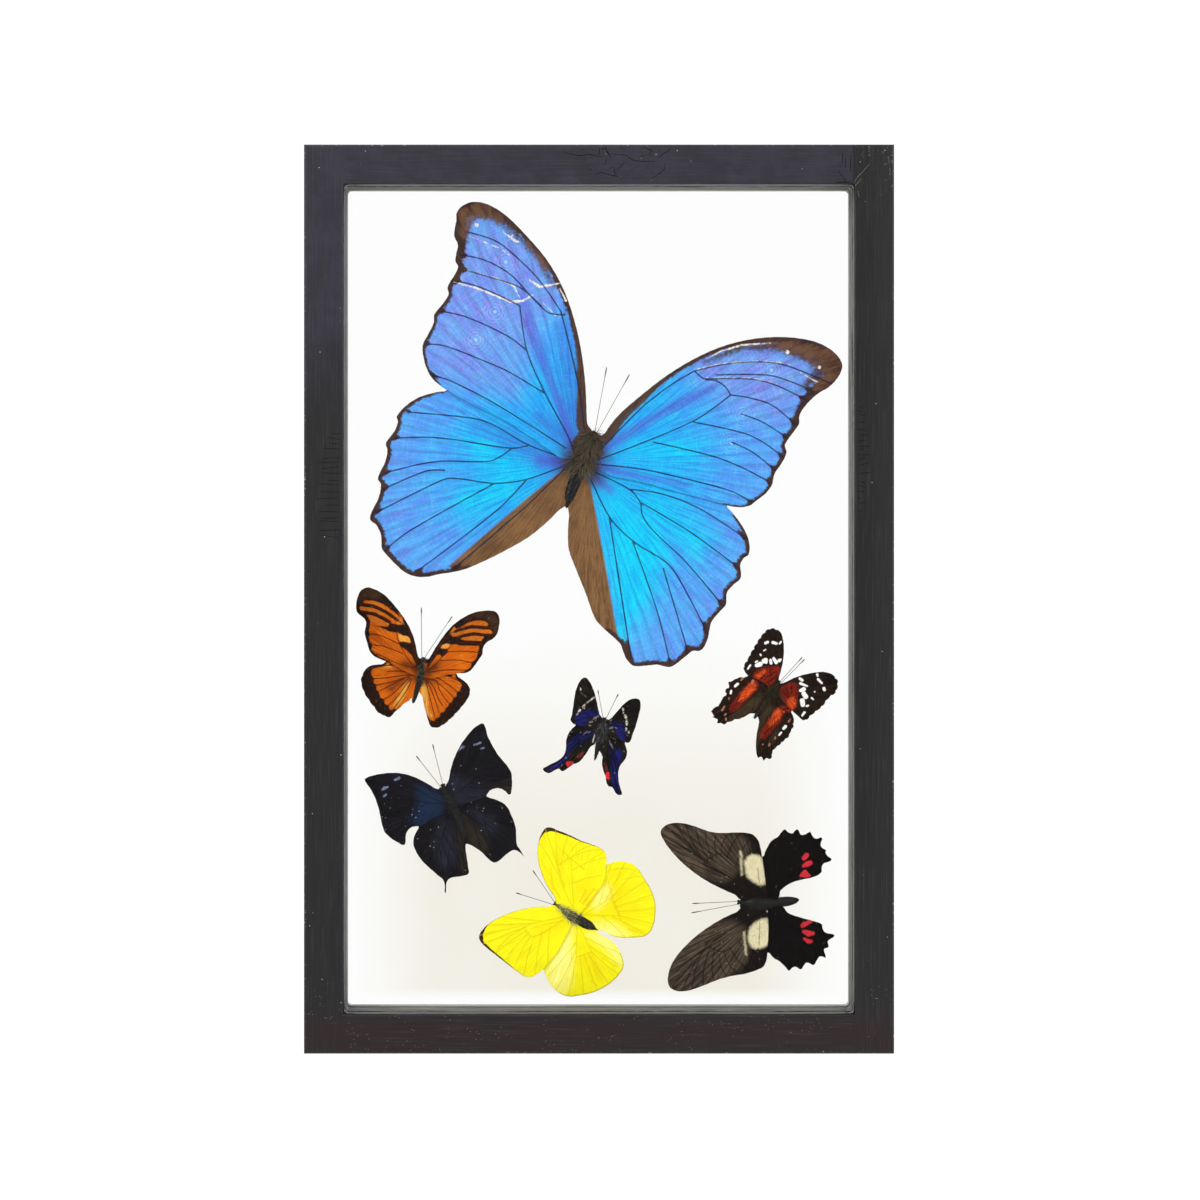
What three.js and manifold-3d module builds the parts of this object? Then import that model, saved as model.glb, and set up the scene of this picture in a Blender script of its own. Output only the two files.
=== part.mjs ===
// Seven butterflies held between two panes of glass in a black wooden frame that hangs on a wall.
// Millimetres, +Z up, +X to the viewer's right. The front faces -Y and the back lies in the plane Y = 0.
// The origin is on the back of the top rail, where the teeth of the hanger rest on their nail.

import * as THREE from 'three';
import { mergeVertices } from 'three/addons/utils/BufferGeometryUtils.js';
import Module from 'manifold-3d';

const wasm = await Module();
wasm.setup();

// ---- Driving dimensions -------------------------------------------------------------------

const FRAME = { width: 198, height: 305, depth: 20, face: 13.5, round: 0.9 };
const CLEARANCE = 0.3; // between any two pieces that meet
const GLASS = { thickness: 2, inGroove: 2.7, frontSetback: 4, backSetback: 3 };
const HANGER = { length: 45, height: 7.5, thickness: 1, teeth: 9, toothedLength: 27, toothDepth: 1.4 };
const NAIL = { spacing: 37, shank: 0.6, head: 1.7, headThickness: 0.7, embedded: 8, sides: 12 };
const HANGER_BELOW_TOP = 9.5; // from the top of the frame down to the teeth
const WING_THICKNESS = 0.3;
const WING_GAP = 0.35; // forewing in front of hindwing
const WING_RISE = 0.45; // height of the hindwing's face above the body's axis, in thorax radii
const ANTENNA_RADIUS = 0.2;
const ANTENNA_LIFT = 0.8; // how far the tips lean towards the front pane
const GLUE_THICKNESS = 0.8;
const BODY_SIDES = 10;
const BODY_DEPTH = 0.85; // of its width

// ---- Worked out from them -----------------------------------------------------------------

const frameCentreZ = HANGER_BELOW_TOP - FRAME.height / 2;
const frontGlassY = -FRAME.depth + GLASS.frontSetback; // front face of the front pane
const backGlassY = -GLASS.backSetback - GLASS.thickness; // front face of the rear pane

// ---- The butterflies ----------------------------------------------------------------------
// Each one is drawn on its own grid, x to the right and y down, seen from above its back.
// `wingspan` is the real size between the two forewing tips, and sets the size of the grid.
// `thorax` is the grid point that lands on `place`, which is x and z from the frame's centre.
// A body is a row of rings from the nose to the tip of the abdomen: [x, y, half width].

const BUTTERFLIES = [
  {
    name: 'blue_morpho', wingspan: 137.4, thorax: [583, 467], place: [-5.6, 45.1],
    colour: 0x2a8ee8, gloss: 0.35, tips: [[473, 204], [843, 370]],
    forewing_left: [[576, 453], [588, 447], [588, 421], [584, 363], [572, 311], [554, 271], [525, 235],
      [495, 209], [473, 204], [459, 212], [457, 225], [455, 237], [459, 248], [456, 261], [459, 271],
      [449, 287], [449, 299], [436, 315], [434, 328], [424, 346], [426, 365], [433, 380], [452, 395],
      [482, 411], [513, 427], [551, 453], [566, 461]],
    hindwing_left: [[566, 458], [530, 425], [490, 402], [452, 393], [429, 396], [413, 403], [398, 418],
      [399, 427], [387, 445], [389, 456], [379, 480], [383, 490], [371, 520], [381, 531], [383, 550],
      [392, 561], [406, 574], [422, 579], [440, 576], [453, 574], [466, 571], [487, 562], [528, 540],
      [553, 519], [564, 505], [567, 478]],
    forewing_right: [[597, 458], [610, 428], [642, 397], [682, 368], [724, 348], [770, 339], [814, 343],
      [837, 356], [843, 370], [832, 387], [817, 397], [801, 415], [799, 428], [786, 445], [787, 457],
      [776, 474], [771, 490], [759, 501], [746, 509], [723, 506], [682, 495], [636, 483], [601, 473]],
    hindwing_right: [[600, 470], [640, 476], [690, 489], [720, 502], [742, 526], [750, 544], [749, 557],
      [742, 562], [741, 581], [729, 591], [726, 608], [714, 620], [708, 642], [702, 652], [692, 653],
      [674, 668], [654, 666], [636, 668], [626, 659], [622, 647], [609, 634], [597, 622], [583, 585],
      [570, 553], [569, 530], [572, 507], [582, 488]],
    body: [[595.5, 432, 0], [595, 434, 3], [593.5, 439, 5], [591, 445, 5.5], [588, 452, 8.5], [584, 462, 10],
      [580, 472, 9.5], [577, 480, 7], [574, 487, 6.5], [571, 496, 6.5], [568.5, 503, 4.5], [567, 508, 0]],
    antennae: [[[595.7, 434], [607.6, 369.2]], [[597.8, 434.5], [630.4, 376.3]]],
  },
  {
    name: 'banded_orange', wingspan: 49, thorax: [717, 893], place: [-60, -24.4],
    colour: 0xd9781c, gloss: 0.2, tips: [[122, 215], [1440, 430]],
    forewing_left: [[700, 900], [690, 800], [650, 600], [600, 480], [530, 370], [450, 270], [370, 190],
      [290, 145], [220, 125], [160, 150], [125, 215], [111, 300], [122, 360], [180, 408], [205, 455],
      [190, 540], [215, 640], [240, 720], [290, 770], [400, 815], [520, 880], [600, 920], [690, 945]],
    hindwing_left: [[690, 920], [600, 890], [520, 870], [430, 828], [340, 836], [255, 846], [205, 875],
      [165, 940], [155, 1000], [180, 1090], [220, 1160], [280, 1240], [330, 1300], [370, 1310],
      [410, 1332], [440, 1315], [480, 1270], [530, 1230], [575, 1150], [600, 1135], [612, 1080],
      [640, 1000], [690, 960]],
    forewing_right: [[745, 900], [780, 800], [860, 660], [930, 560], [1010, 470], [1110, 400], [1210, 355],
      [1310, 340], [1390, 345], [1428, 380], [1440, 430], [1434, 490], [1415, 560], [1380, 600],
      [1330, 630], [1292, 670], [1280, 745], [1250, 790], [1190, 875], [1140, 914], [1080, 920],
      [1000, 930], [900, 950], [760, 965]],
    hindwing_right: [[750, 960], [850, 930], [960, 925], [1060, 955], [1110, 990], [1150, 1030],
      [1168, 1080], [1155, 1140], [1100, 1220], [1020, 1310], [950, 1375], [880, 1420], [830, 1425],
      [795, 1405], [775, 1350], [755, 1280], [735, 1200], [722, 1120], [712, 1040], [722, 985]],
    body: [[737, 770, 0], [736, 780, 16], [732, 805, 26], [727, 825, 24], [722, 850, 34], [715, 900, 38],
      [708, 950, 36], [700, 1000, 26], [690, 1050, 24], [672, 1100, 26], [655, 1150, 22], [640, 1185, 14],
      [632, 1202, 0]],
    antennae: [[[718, 755], [715, 315]], [[765, 745], [1000, 395]]],
  },
  {
    name: 'blue_metalmark', wingspan: 21.7, thorax: [790, 715], place: [1.2, -44.5],
    colour: 0x1e1e7a, gloss: 0.3, tips: [[570, 165], [1208, 430]],
    forewing_left: [[775, 650], [765, 560], [745, 460], [715, 330], [690, 260], [655, 190], [610, 150],
      [570, 165], [535, 215], [505, 290], [485, 400], [465, 540], [450, 625], [510, 665], [560, 680],
      [650, 692], [740, 700]],
    hindwing_left: [[745, 690], [650, 675], [560, 665], [500, 675], [450, 720], [415, 780], [400, 840],
      [398, 920], [385, 970], [345, 1025], [290, 1060], [220, 1095], [150, 1138], [162, 1162],
      [225, 1188], [270, 1160], [330, 1140], [350, 1165], [400, 1150], [480, 1090], [520, 1080],
      [570, 1040], [630, 960], [680, 870], [710, 780]],
    forewing_right: [[850, 660], [880, 600], [940, 530], [1010, 450], [1070, 400], [1140, 375],
      [1190, 388], [1208, 430], [1200, 510], [1150, 690], [1120, 770], [1085, 855], [1040, 850],
      [980, 830], [900, 800], [840, 760]],
    hindwing_right: [[835, 745], [900, 780], [980, 810], [1025, 845], [1052, 905], [1062, 965],
      [1045, 1030], [1005, 1080], [975, 1135], [968, 1200], [972, 1270], [985, 1330], [1006, 1418],
      [960, 1418], [935, 1400], [915, 1360], [895, 1335], [865, 1332], [838, 1290], [825, 1220],
      [800, 1150], [788, 1080], [795, 1000], [800, 900], [805, 820]],
    body: [[817, 590, 0], [816, 602, 24], [814, 625, 34], [808, 655, 48], [798, 700, 56], [785, 760, 56],
      [770, 810, 44], [760, 850, 34], [748, 900, 36], [735, 950, 36], [722, 1005, 26], [712, 1040, 14],
      [709, 1052, 0]],
    antennae: [[[800, 580], [745, 290]], [[845, 575], [965, 330]]],
  },
  {
    name: 'scarlet_peacock', wingspan: 28.3, thorax: [730, 750], place: [59.4, -31],
    colour: 0x6a2318, gloss: 0.2, tips: [[740, 150], [1362, 680]],
    forewing_left: [[725, 760], [745, 690], [790, 600], [818, 490], [830, 390], [828, 300], [812, 215],
      [780, 165], [740, 150], [705, 143], [660, 162], [620, 200], [590, 240], [558, 290], [530, 340],
      [500, 388], [478, 435], [450, 482], [432, 535], [450, 580], [490, 620], [560, 645], [640, 690],
      [690, 740]],
    hindwing_left: [[690, 780], [620, 700], [540, 650], [480, 622], [430, 624], [370, 630], [330, 658],
      [286, 668], [290, 710], [252, 757], [260, 800], [222, 830], [208, 872], [170, 910], [110, 958],
      [138, 990], [125, 1020], [175, 1040], [172, 1080], [210, 1082], [250, 1090], [290, 1070],
      [360, 1045], [430, 1025], [500, 980], [560, 940], [610, 890], [660, 830]],
    forewing_right: [[765, 790], [800, 710], [850, 670], [930, 630], [1020, 600], [1120, 580],
      [1210, 572], [1290, 590], [1340, 630], [1362, 680], [1352, 742], [1328, 790], [1280, 820],
      [1242, 868], [1200, 920], [1150, 960], [1100, 1000], [1032, 1053], [980, 1020], [930, 975],
      [870, 915], [790, 830]],
    hindwing_right: [[770, 830], [840, 900], [905, 975], [928, 1030], [928, 1090], [920, 1125],
      [898, 1162], [880, 1210], [832, 1250], [792, 1290], [742, 1330], [718, 1370], [713, 1412],
      [688, 1430], [658, 1420], [630, 1448], [608, 1405], [580, 1418], [562, 1380], [555, 1300],
      [560, 1200], [575, 1120], [600, 1020], [640, 920], [700, 850]],
    body: [[783, 668, 0], [778, 676, 20], [766, 694, 34], [752, 712, 36], [740, 740, 46], [722, 775, 50],
      [700, 812, 44], [672, 850, 30], [645, 885, 28], [615, 925, 28], [588, 965, 26], [562, 1000, 20],
      [545, 1027, 10], [540, 1036, 0]],
    antennae: [[[775, 690], [1010, 430]], [[790, 700], [1032, 450]]],
  },
  {
    name: 'black_leafwing', wingspan: 44.3, thorax: [800, 740], place: [-50.1, -69.4],
    colour: 0x17161f, gloss: 0.3, tips: [[90, 548], [1060, 80]],
    forewing_left: [[760, 800], [735, 740], [705, 660], [650, 600], [600, 570], [500, 520], [400, 492],
      [300, 487], [200, 500], [120, 522], [90, 548], [125, 600], [172, 685], [205, 780], [225, 870],
      [250, 965], [290, 1012], [350, 1055], [425, 1083], [430, 1030], [440, 980], [470, 942],
      [510, 930], [560, 925], [620, 885], [690, 850], [750, 830]],
    hindwing_left: [[790, 840], [700, 860], [600, 900], [540, 940], [500, 1010], [492, 1080], [520, 1150],
      [560, 1210], [620, 1270], [700, 1340], [735, 1370], [748, 1400], [752, 1480], [761, 1480],
      [766, 1400], [790, 1362], [860, 1345], [945, 1325], [940, 1230], [925, 1130], [905, 1060],
      [870, 980], [830, 900]],
    forewing_right: [[800, 740], [780, 680], [785, 540], [810, 420], [840, 340], [880, 260], [930, 190],
      [990, 120], [1060, 80], [1083, 100], [1102, 172], [1150, 270], [1200, 350], [1260, 420],
      [1300, 485], [1307, 560], [1304, 630], [1285, 673], [1250, 640], [1205, 618], [1155, 620],
      [1115, 645], [1090, 685], [1030, 712], [950, 735], [850, 775]],
    hindwing_right: [[860, 780], [950, 715], [1040, 680], [1110, 690], [1200, 720], [1260, 760],
      [1300, 835], [1335, 930], [1342, 1010], [1347, 1080], [1372, 1120], [1408, 1185], [1360, 1140],
      [1320, 1127], [1250, 1170], [1200, 1215], [1155, 1230], [1100, 1190], [1040, 1130], [990, 1100],
      [950, 1060], [920, 950], [880, 850]],
    body: [[738, 595, 0], [740, 604, 24], [746, 625, 36], [758, 650, 36], [775, 690, 50], [800, 745, 56],
      [828, 800, 54], [850, 850, 40], [868, 895, 34], [885, 940, 36], [903, 1000, 34], [917, 1045, 22],
      [925, 1072, 10], [927, 1080, 0]],
    antennae: [[[735, 590], [652, 255]], [[715, 605], [517, 350]]],
  },
  {
    name: 'yellow_sulphur', wingspan: 43.8, thorax: [780, 785], place: [-10.2, -106.9],
    colour: 0xf6f032, gloss: 0.2, tips: [[80, 955], [625, 103]],
    forewing_left: [[770, 800], [700, 742], [620, 725], [500, 730], [400, 750], [300, 782], [200, 830],
      [130, 880], [80, 955], [88, 995], [140, 1050], [220, 1112], [320, 1190], [400, 1250], [460, 1280],
      [505, 1270], [580, 1220], [650, 1140], [720, 1040], [780, 920], [810, 850]],
    hindwing_left: [[820, 860], [790, 900], [740, 1000], [680, 1100], [620, 1180], [590, 1215],
      [605, 1270], [640, 1340], [700, 1400], [780, 1432], [860, 1425], [960, 1405], [1060, 1360],
      [1150, 1290], [1212, 1200], [1200, 1120], [1170, 1055], [1110, 990], [1040, 955], [980, 935],
      [920, 900], [860, 870]],
    forewing_right: [[800, 800], [740, 735], [680, 660], [610, 560], [560, 440], [538, 335], [540, 250],
      [558, 180], [590, 122], [625, 103], [700, 130], [790, 165], [880, 210], [980, 245], [1050, 280],
      [1078, 330], [1075, 420], [1068, 500], [1020, 600], [950, 690], [900, 750], [850, 800]],
    hindwing_right: [[880, 810], [940, 720], [1010, 600], [1060, 480], [1085, 400], [1160, 375],
      [1240, 380], [1310, 412], [1370, 500], [1420, 580], [1455, 670], [1463, 750], [1450, 860],
      [1400, 950], [1300, 970], [1200, 972], [1120, 955], [1050, 915], [985, 860], [930, 825]],
    body: [[672, 704, 0], [680, 710, 22], [700, 722, 32], [722, 738, 34], [760, 765, 50], [800, 795, 54],
      [840, 818, 48], [870, 835, 36], [905, 856, 32], [945, 876, 32], [980, 896, 26], [1005, 910, 14],
      [1014, 916, 0]],
    antennae: [[[675, 700], [502, 445]], [[655, 712], [370, 620]]],
  },
  {
    name: 'red_spot_swallowtail', wingspan: 49.1, thorax: [870, 757], place: [53.9, -103.2],
    colour: 0x1c1512, gloss: 0.2, tips: [[90, 175], [148, 1338]],
    forewing_left: [[880, 775], [830, 790], [740, 810], [600, 870], [480, 940], [360, 1030], [250, 1140],
      [180, 1240], [150, 1330], [148, 1400], [178, 1445], [240, 1465], [330, 1455], [430, 1420],
      [530, 1380], [640, 1345], [760, 1325], [870, 1290], [920, 1260], [945, 1190], [950, 1100],
      [958, 960], [955, 850], [945, 790]],
    hindwing_left: [[950, 790], [970, 880], [975, 980], [960, 1080], [955, 1140], [1000, 1200],
      [1040, 1222], [1080, 1258], [1125, 1300], [1160, 1267], [1225, 1290], [1252, 1238], [1330, 1252],
      [1362, 1188], [1425, 1200], [1402, 1132], [1445, 1105], [1432, 1068], [1490, 1020], [1478, 1008],
      [1397, 980], [1390, 930], [1340, 905], [1250, 880], [1150, 850], [1080, 822], [1010, 795]],
    forewing_right: [[870, 740], [820, 715], [720, 700], [600, 650], [480, 590], [370, 520], [260, 430],
      [160, 320], [100, 225], [90, 175], [130, 130], [200, 110], [300, 118], [400, 150], [480, 178],
      [560, 190], [700, 187], [810, 195], [865, 235], [890, 300], [905, 380], [918, 460], [930, 560],
      [940, 640], [940, 710]],
    hindwing_right: [[940, 720], [925, 600], [915, 480], [918, 380], [950, 300], [990, 245], [1030, 225],
      [1060, 185], [1090, 163], [1110, 182], [1150, 195], [1188, 157], [1215, 203], [1250, 205],
      [1295, 180], [1315, 225], [1345, 238], [1390, 228], [1378, 280], [1385, 310], [1420, 330],
      [1417, 362], [1465, 402], [1455, 420], [1402, 440], [1385, 470], [1385, 505], [1330, 545],
      [1220, 570], [1130, 600], [1060, 650], [1000, 710]],
    body: [[722, 753, 0], [730, 753, 24], [752, 755, 36], [775, 757, 38], [810, 760, 56], [860, 762, 62],
      [920, 762, 58], [970, 760, 46], [1010, 757, 38], [1060, 750, 42], [1120, 744, 40], [1170, 738, 28],
      [1197, 733, 14], [1206, 731, 0]],
    antennae: [[[725, 745], [345, 760]], [[730, 765], [340, 835]]],
  },
];

// ---- Solids: joins and cuts ---------------------------------------------------------------

/** A closed geometry as a solid. */
function toSolid(geometry) {
  const bare = geometry.clone();
  bare.deleteAttribute('normal');
  bare.deleteAttribute('uv');
  const merged = mergeVertices(bare, 1e-4);
  return new wasm.Manifold(new wasm.Mesh({
    numProp: 3,
    vertProperties: new Float32Array(merged.attributes.position.array),
    triVerts: new Uint32Array(merged.index.array),
  }));
}

/** A solid as a geometry. */
function toGeometry(solid) {
  const mesh = solid.getMesh();
  const geometry = new THREE.BufferGeometry();
  geometry.setAttribute('position', new THREE.BufferAttribute(new Float32Array(mesh.vertProperties), 3));
  geometry.setIndex(new THREE.BufferAttribute(new Uint32Array(mesh.triVerts), 1));
  geometry.computeVertexNormals();
  return geometry;
}

/** A named mesh with a plain finish. */
function piece(name, geometry, colour, roughness = 0.6, metalness = 0) {
  const mesh = new THREE.Mesh(geometry, new THREE.MeshStandardMaterial({ color: colour, roughness, metalness }));
  mesh.name = name;
  return mesh;
}

// ---- The frame ----------------------------------------------------------------------------

/** The moulding's section: x from the outer edge inwards, y from the front (-depth) to the back (0). */
function mouldingSection() {
  const { face, depth, round } = FRAME;
  const grooveFloor = face - GLASS.inGroove - CLEARANCE;
  const grooveWidth = GLASS.thickness + 2 * CLEARANCE;
  const section = new THREE.Shape();
  section.moveTo(round, -depth);
  section.lineTo(face - round, -depth);
  section.quadraticCurveTo(face, -depth, face, -depth + round);
  for (const glassY of [frontGlassY, backGlassY]) {
    const start = glassY - CLEARANCE;
    section.lineTo(face, start);
    section.lineTo(grooveFloor, start);
    section.lineTo(grooveFloor, start + grooveWidth);
    section.lineTo(face, start + grooveWidth);
  }
  section.lineTo(face, 0);
  section.lineTo(0, 0);
  section.lineTo(0, -depth + round);
  section.quadraticCurveTo(0, -depth, round, -depth);
  return section;
}

/** A length of moulding along z, with both ends cut at 45 degrees. */
function mitredMoulding(length) {
  const geometry = new THREE.ExtrudeGeometry(mouldingSection(),
    { depth: length, bevelEnabled: false, curveSegments: 3 });
  const position = geometry.attributes.position;
  for (let i = 0; i < position.count; i += 1) {
    const inset = position.getX(i) + CLEARANCE / 2;
    position.setZ(i, position.getZ(i) < length / 2 ? inset : length - inset);
  }
  return geometry;
}

/** A round bar along y, from its middle. */
function roundBar(radius, length, sides = NAIL.sides) {
  return new THREE.CylinderGeometry(radius, radius, length, sides);
}

/** The top rail, with the two nail holes in its back. */
function drilledTopRail() {
  let rail = toSolid(mitredMoulding(FRAME.width));
  for (const side of [-1, 1]) {
    const hole = roundBar(NAIL.shank + CLEARANCE, 2 * NAIL.embedded);
    hole.translate(HANGER_BELOW_TOP - HANGER.height / 2, 0, FRAME.width / 2 + side * NAIL.spacing / 2);
    rail = rail.subtract(toSolid(hole));
  }
  return toGeometry(rail);
}

/** The four mouldings, each turned a quarter turn about the depth of the frame from the one before. */
function makeMouldings() {
  const { width, height } = FRAME;
  const paint = 0x2b292e;
  const sides = [
    ['stile_left', mitredMoulding(height), 0, -width / 2, -height / 2],
    ['rail_top', drilledTopRail(), Math.PI / 2, -width / 2, height / 2],
    ['stile_right', mitredMoulding(height), Math.PI, width / 2, height / 2],
    ['rail_bottom', mitredMoulding(width), -Math.PI / 2, width / 2, -height / 2],
  ];
  return sides.map(([name, geometry, turn, x, z]) => {
    const mesh = piece(name, geometry, paint, 0.45);
    mesh.rotation.y = turn;
    mesh.position.set(x, 0, z);
    return mesh;
  });
}

/** One pane, standing in its groove all round. */
function makePane(name, faceY) {
  const overGroove = 2 * (GLASS.inGroove - FRAME.face);
  const pane = new THREE.BoxGeometry(FRAME.width + overGroove, GLASS.thickness, FRAME.height + overGroove);
  const mesh = piece(name, pane, 0xe8f0ec, 0.05);
  mesh.position.y = faceY + GLASS.thickness / 2;
  return mesh;
}

/** The hanger: a strip of steel with teeth along its lower edge and a nail hole at each end. */
function hangerPlate() {
  const { length, height, thickness, teeth, toothedLength, toothDepth } = HANGER;
  const strip = new THREE.Shape();
  strip.moveTo(-length / 2, height);
  strip.lineTo(-length / 2, 0);
  for (let i = 0; i <= teeth; i += 1) {
    const x = toothedLength * (i / teeth - 0.5);
    strip.lineTo(x, -toothDepth);
    if (i < teeth) strip.lineTo(x + toothedLength / teeth / 2, 0);
  }
  strip.lineTo(length / 2, 0);
  strip.lineTo(length / 2, height);
  for (const side of [-1, 1]) {
    const hole = new THREE.Path();
    hole.absarc(side * NAIL.spacing / 2, height / 2, NAIL.shank + CLEARANCE, 0, 2 * Math.PI);
    strip.holes.push(hole);
  }
  return new THREE.ExtrudeGeometry(strip, { depth: thickness, bevelEnabled: false, curveSegments: NAIL.sides / 2 });
}

/** A nail along y, head out: a domed head on a shank with a point. */
function nailGeometry() {
  const { shank, head, headThickness, embedded, sides } = NAIL;
  const through = HANGER.thickness + 2 * CLEARANCE;
  const profile = [
    [0, -embedded + 1], [shank, -embedded + 2.5], [shank, through], [head, through],
    [head, through + headThickness / 2], [head / 2, through + headThickness], [0, through + headThickness],
  ];
  return new THREE.LatheGeometry(profile.map(([x, y]) => new THREE.Vector2(x, y)), sides);
}

/** The hanger and its two nails, with the teeth's roots at z = 0. */
function makeHanger() {
  const steel = 0xb9a56a;
  const plate = piece('sawtooth_hanger', hangerPlate(), steel, 0.35, 1);
  plate.rotation.x = Math.PI / 2;
  plate.position.y = CLEARANCE + HANGER.thickness;
  const nails = [['hanger_nail_left', -1], ['hanger_nail_right', 1]].map(([name, side]) => {
    const nail = piece(name, nailGeometry(), steel, 0.35, 1);
    nail.position.set(side * NAIL.spacing / 2, 0, HANGER.height / 2);
    return nail;
  });
  return [plate, ...nails];
}

// ---- The butterflies ----------------------------------------------------------------------

/** Turns a grid point of one butterfly into millimetres from its thorax, x right and y up. */
function gridOf(butterfly) {
  const [[ax, ay], [bx, by]] = butterfly.tips;
  const unit = butterfly.wingspan / Math.hypot(bx - ax, by - ay);
  const [tx, ty] = butterfly.thorax;
  return { unit, at: ([x, y]) => new THREE.Vector2((x - tx) * unit, (ty - y) * unit) };
}

/** Head, thorax and abdomen as one row of rings, each `grow` wider than the body itself. */
function bodySolid(rings, grid, grow = 0) {
  const profile = rings.map(([, , half], i) => new THREE.Vector2(half === 0 ? 0 : half * grid.unit + grow, i));
  const geometry = new THREE.LatheGeometry(profile, BODY_SIDES);
  const centres = rings.map((ring) => grid.at(ring));
  const position = geometry.attributes.position;
  for (let i = 0; i < position.count; i += 1) {
    const ring = Math.round(position.getY(i));
    const before = centres[Math.max(ring - 1, 0)];
    const after = centres[Math.min(ring + 1, centres.length - 1)];
    const along = after.clone().sub(before).normalize();
    const centre = centres[ring];
    const side = position.getX(i);
    position.setXYZ(i, centre.x - along.y * side, centre.y + along.x * side, position.getZ(i) * BODY_DEPTH);
  }
  const solid = toSolid(geometry);
  return solid.volume() > 0 ? solid : toSolid(geometry.scale(1, 1, -1));
}

/** One antenna, from the middle of the head to its tip. */
function antennaSolid([root, tip], head, grid) {
  const from = grid.at(head);
  const start = grid.at(root);
  const end = grid.at(tip);
  const path = new THREE.CatmullRomCurve3([
    new THREE.Vector3(from.x, from.y, 0),
    new THREE.Vector3(start.x, start.y, ANTENNA_LIFT / 4),
    new THREE.Vector3(end.x, end.y, ANTENNA_LIFT),
  ]);
  const section = new THREE.Shape(new THREE.Path().absarc(0, 0, ANTENNA_RADIUS, 0, 2 * Math.PI).getPoints(5));
  return toSolid(new THREE.ExtrudeGeometry(section, { extrudePath: path, steps: 5, bevelEnabled: false }));
}

/** A thin plate of the wing's outline, clear of the body. */
function wingGeometry(outline, grid, face, grownBody) {
  const curve = new THREE.CatmullRomCurve3(
    outline.map((point) => new THREE.Vector3(...grid.at(point), 0)), true, 'centripetal');
  const points = curve.getPoints(Math.round(outline.length * 1.5)).slice(0, -1);
  const plate = new THREE.ExtrudeGeometry(
    new THREE.Shape(points.map((point) => new THREE.Vector2(point.x, point.y))),
    { depth: WING_THICKNESS, bevelEnabled: false });
  plate.translate(0, 0, face - WING_THICKNESS);
  return toGeometry(toSolid(plate).subtract(grownBody));
}

/** One butterfly in its own group, seen from above, x right, y up and z towards the front pane. */
function makeButterfly(butterfly) {
  const { name, colour, gloss, body, antennae, place } = butterfly;
  const grid = gridOf(butterfly);
  const thoraxRadius = Math.max(...body.map(([, , half]) => half)) * grid.unit * BODY_DEPTH;
  const group = new THREE.Group();

  const bare = bodySolid(body, grid);
  const whole = antennae.reduce((solid, antenna) => solid.add(antennaSolid(antenna, body[2], grid)), bare);
  group.add(piece(`${name}_body`, toGeometry(whole), 0x241d18, 0.9));

  const grownBody = bodySolid(body, grid, CLEARANCE);
  const hindFace = WING_RISE * thoraxRadius;
  const foreFace = hindFace + WING_THICKNESS + WING_GAP;
  for (const side of ['left', 'right']) {
    const fore = wingGeometry(butterfly[`forewing_${side}`], grid, foreFace, grownBody);
    const hind = wingGeometry(butterfly[`hindwing_${side}`], grid, hindFace, grownBody);
    group.add(piece(`${name}_forewing_${side}`, fore, colour, 1 - gloss));
    group.add(piece(`${name}_hindwing_${side}`, hind, colour, 1 - gloss));
  }

  const glue = new THREE.CylinderGeometry(0.45 * thoraxRadius, 0.6 * thoraxRadius, GLUE_THICKNESS, NAIL.sides);
  glue.rotateX(Math.PI / 2);
  glue.translate(0, 0, -thoraxRadius - CLEARANCE - GLUE_THICKNESS / 2);
  group.add(piece(`${name}_glue`, glue, 0xe9e4d4, 0.3));

  const underside = thoraxRadius + GLUE_THICKNESS + 2 * CLEARANCE;
  group.rotation.x = Math.PI / 2;
  group.position.set(place[0], backGlassY - underside, place[1]);
  return group;
}

// ---- The whole object ---------------------------------------------------------------------

const framedButterflies = new THREE.Group();
framedButterflies.add(...makeHanger());

const aboutFrameCentre = new THREE.Group();
aboutFrameCentre.position.z = frameCentreZ;
aboutFrameCentre.add(...makeMouldings());
aboutFrameCentre.add(makePane('glass_front', frontGlassY), makePane('glass_back', backGlassY));
aboutFrameCentre.add(...BUTTERFLIES.map(makeButterfly));
framedButterflies.add(aboutFrameCentre);

export default framedButterflies;
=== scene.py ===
"""Seven spread butterflies between two panes of glass in a black wooden frame that hangs on a wall.

Metres, +Z up, the front faces -Y. Wings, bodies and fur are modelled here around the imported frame.
"""

import logging
import math
from dataclasses import dataclass, field
from enum import Enum

import bmesh
import bpy
import numpy as np
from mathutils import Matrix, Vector
from mathutils.geometry import delaunay_2d_cdt


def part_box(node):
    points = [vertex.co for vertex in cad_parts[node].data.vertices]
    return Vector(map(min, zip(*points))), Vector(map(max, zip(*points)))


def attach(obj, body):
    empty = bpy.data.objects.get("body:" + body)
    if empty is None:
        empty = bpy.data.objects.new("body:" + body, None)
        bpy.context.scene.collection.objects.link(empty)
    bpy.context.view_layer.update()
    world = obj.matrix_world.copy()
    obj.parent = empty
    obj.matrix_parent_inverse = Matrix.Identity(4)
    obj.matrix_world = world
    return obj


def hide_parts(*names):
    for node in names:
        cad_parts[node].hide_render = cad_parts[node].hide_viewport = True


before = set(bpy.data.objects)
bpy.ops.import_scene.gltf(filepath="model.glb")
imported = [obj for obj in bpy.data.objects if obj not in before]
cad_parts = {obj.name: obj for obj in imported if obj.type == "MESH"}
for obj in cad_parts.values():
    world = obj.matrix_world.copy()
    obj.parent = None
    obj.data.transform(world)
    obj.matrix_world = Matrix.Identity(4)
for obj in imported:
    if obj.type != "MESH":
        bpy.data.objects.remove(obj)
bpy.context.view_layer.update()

log = logging.getLogger("butterflies")

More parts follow.
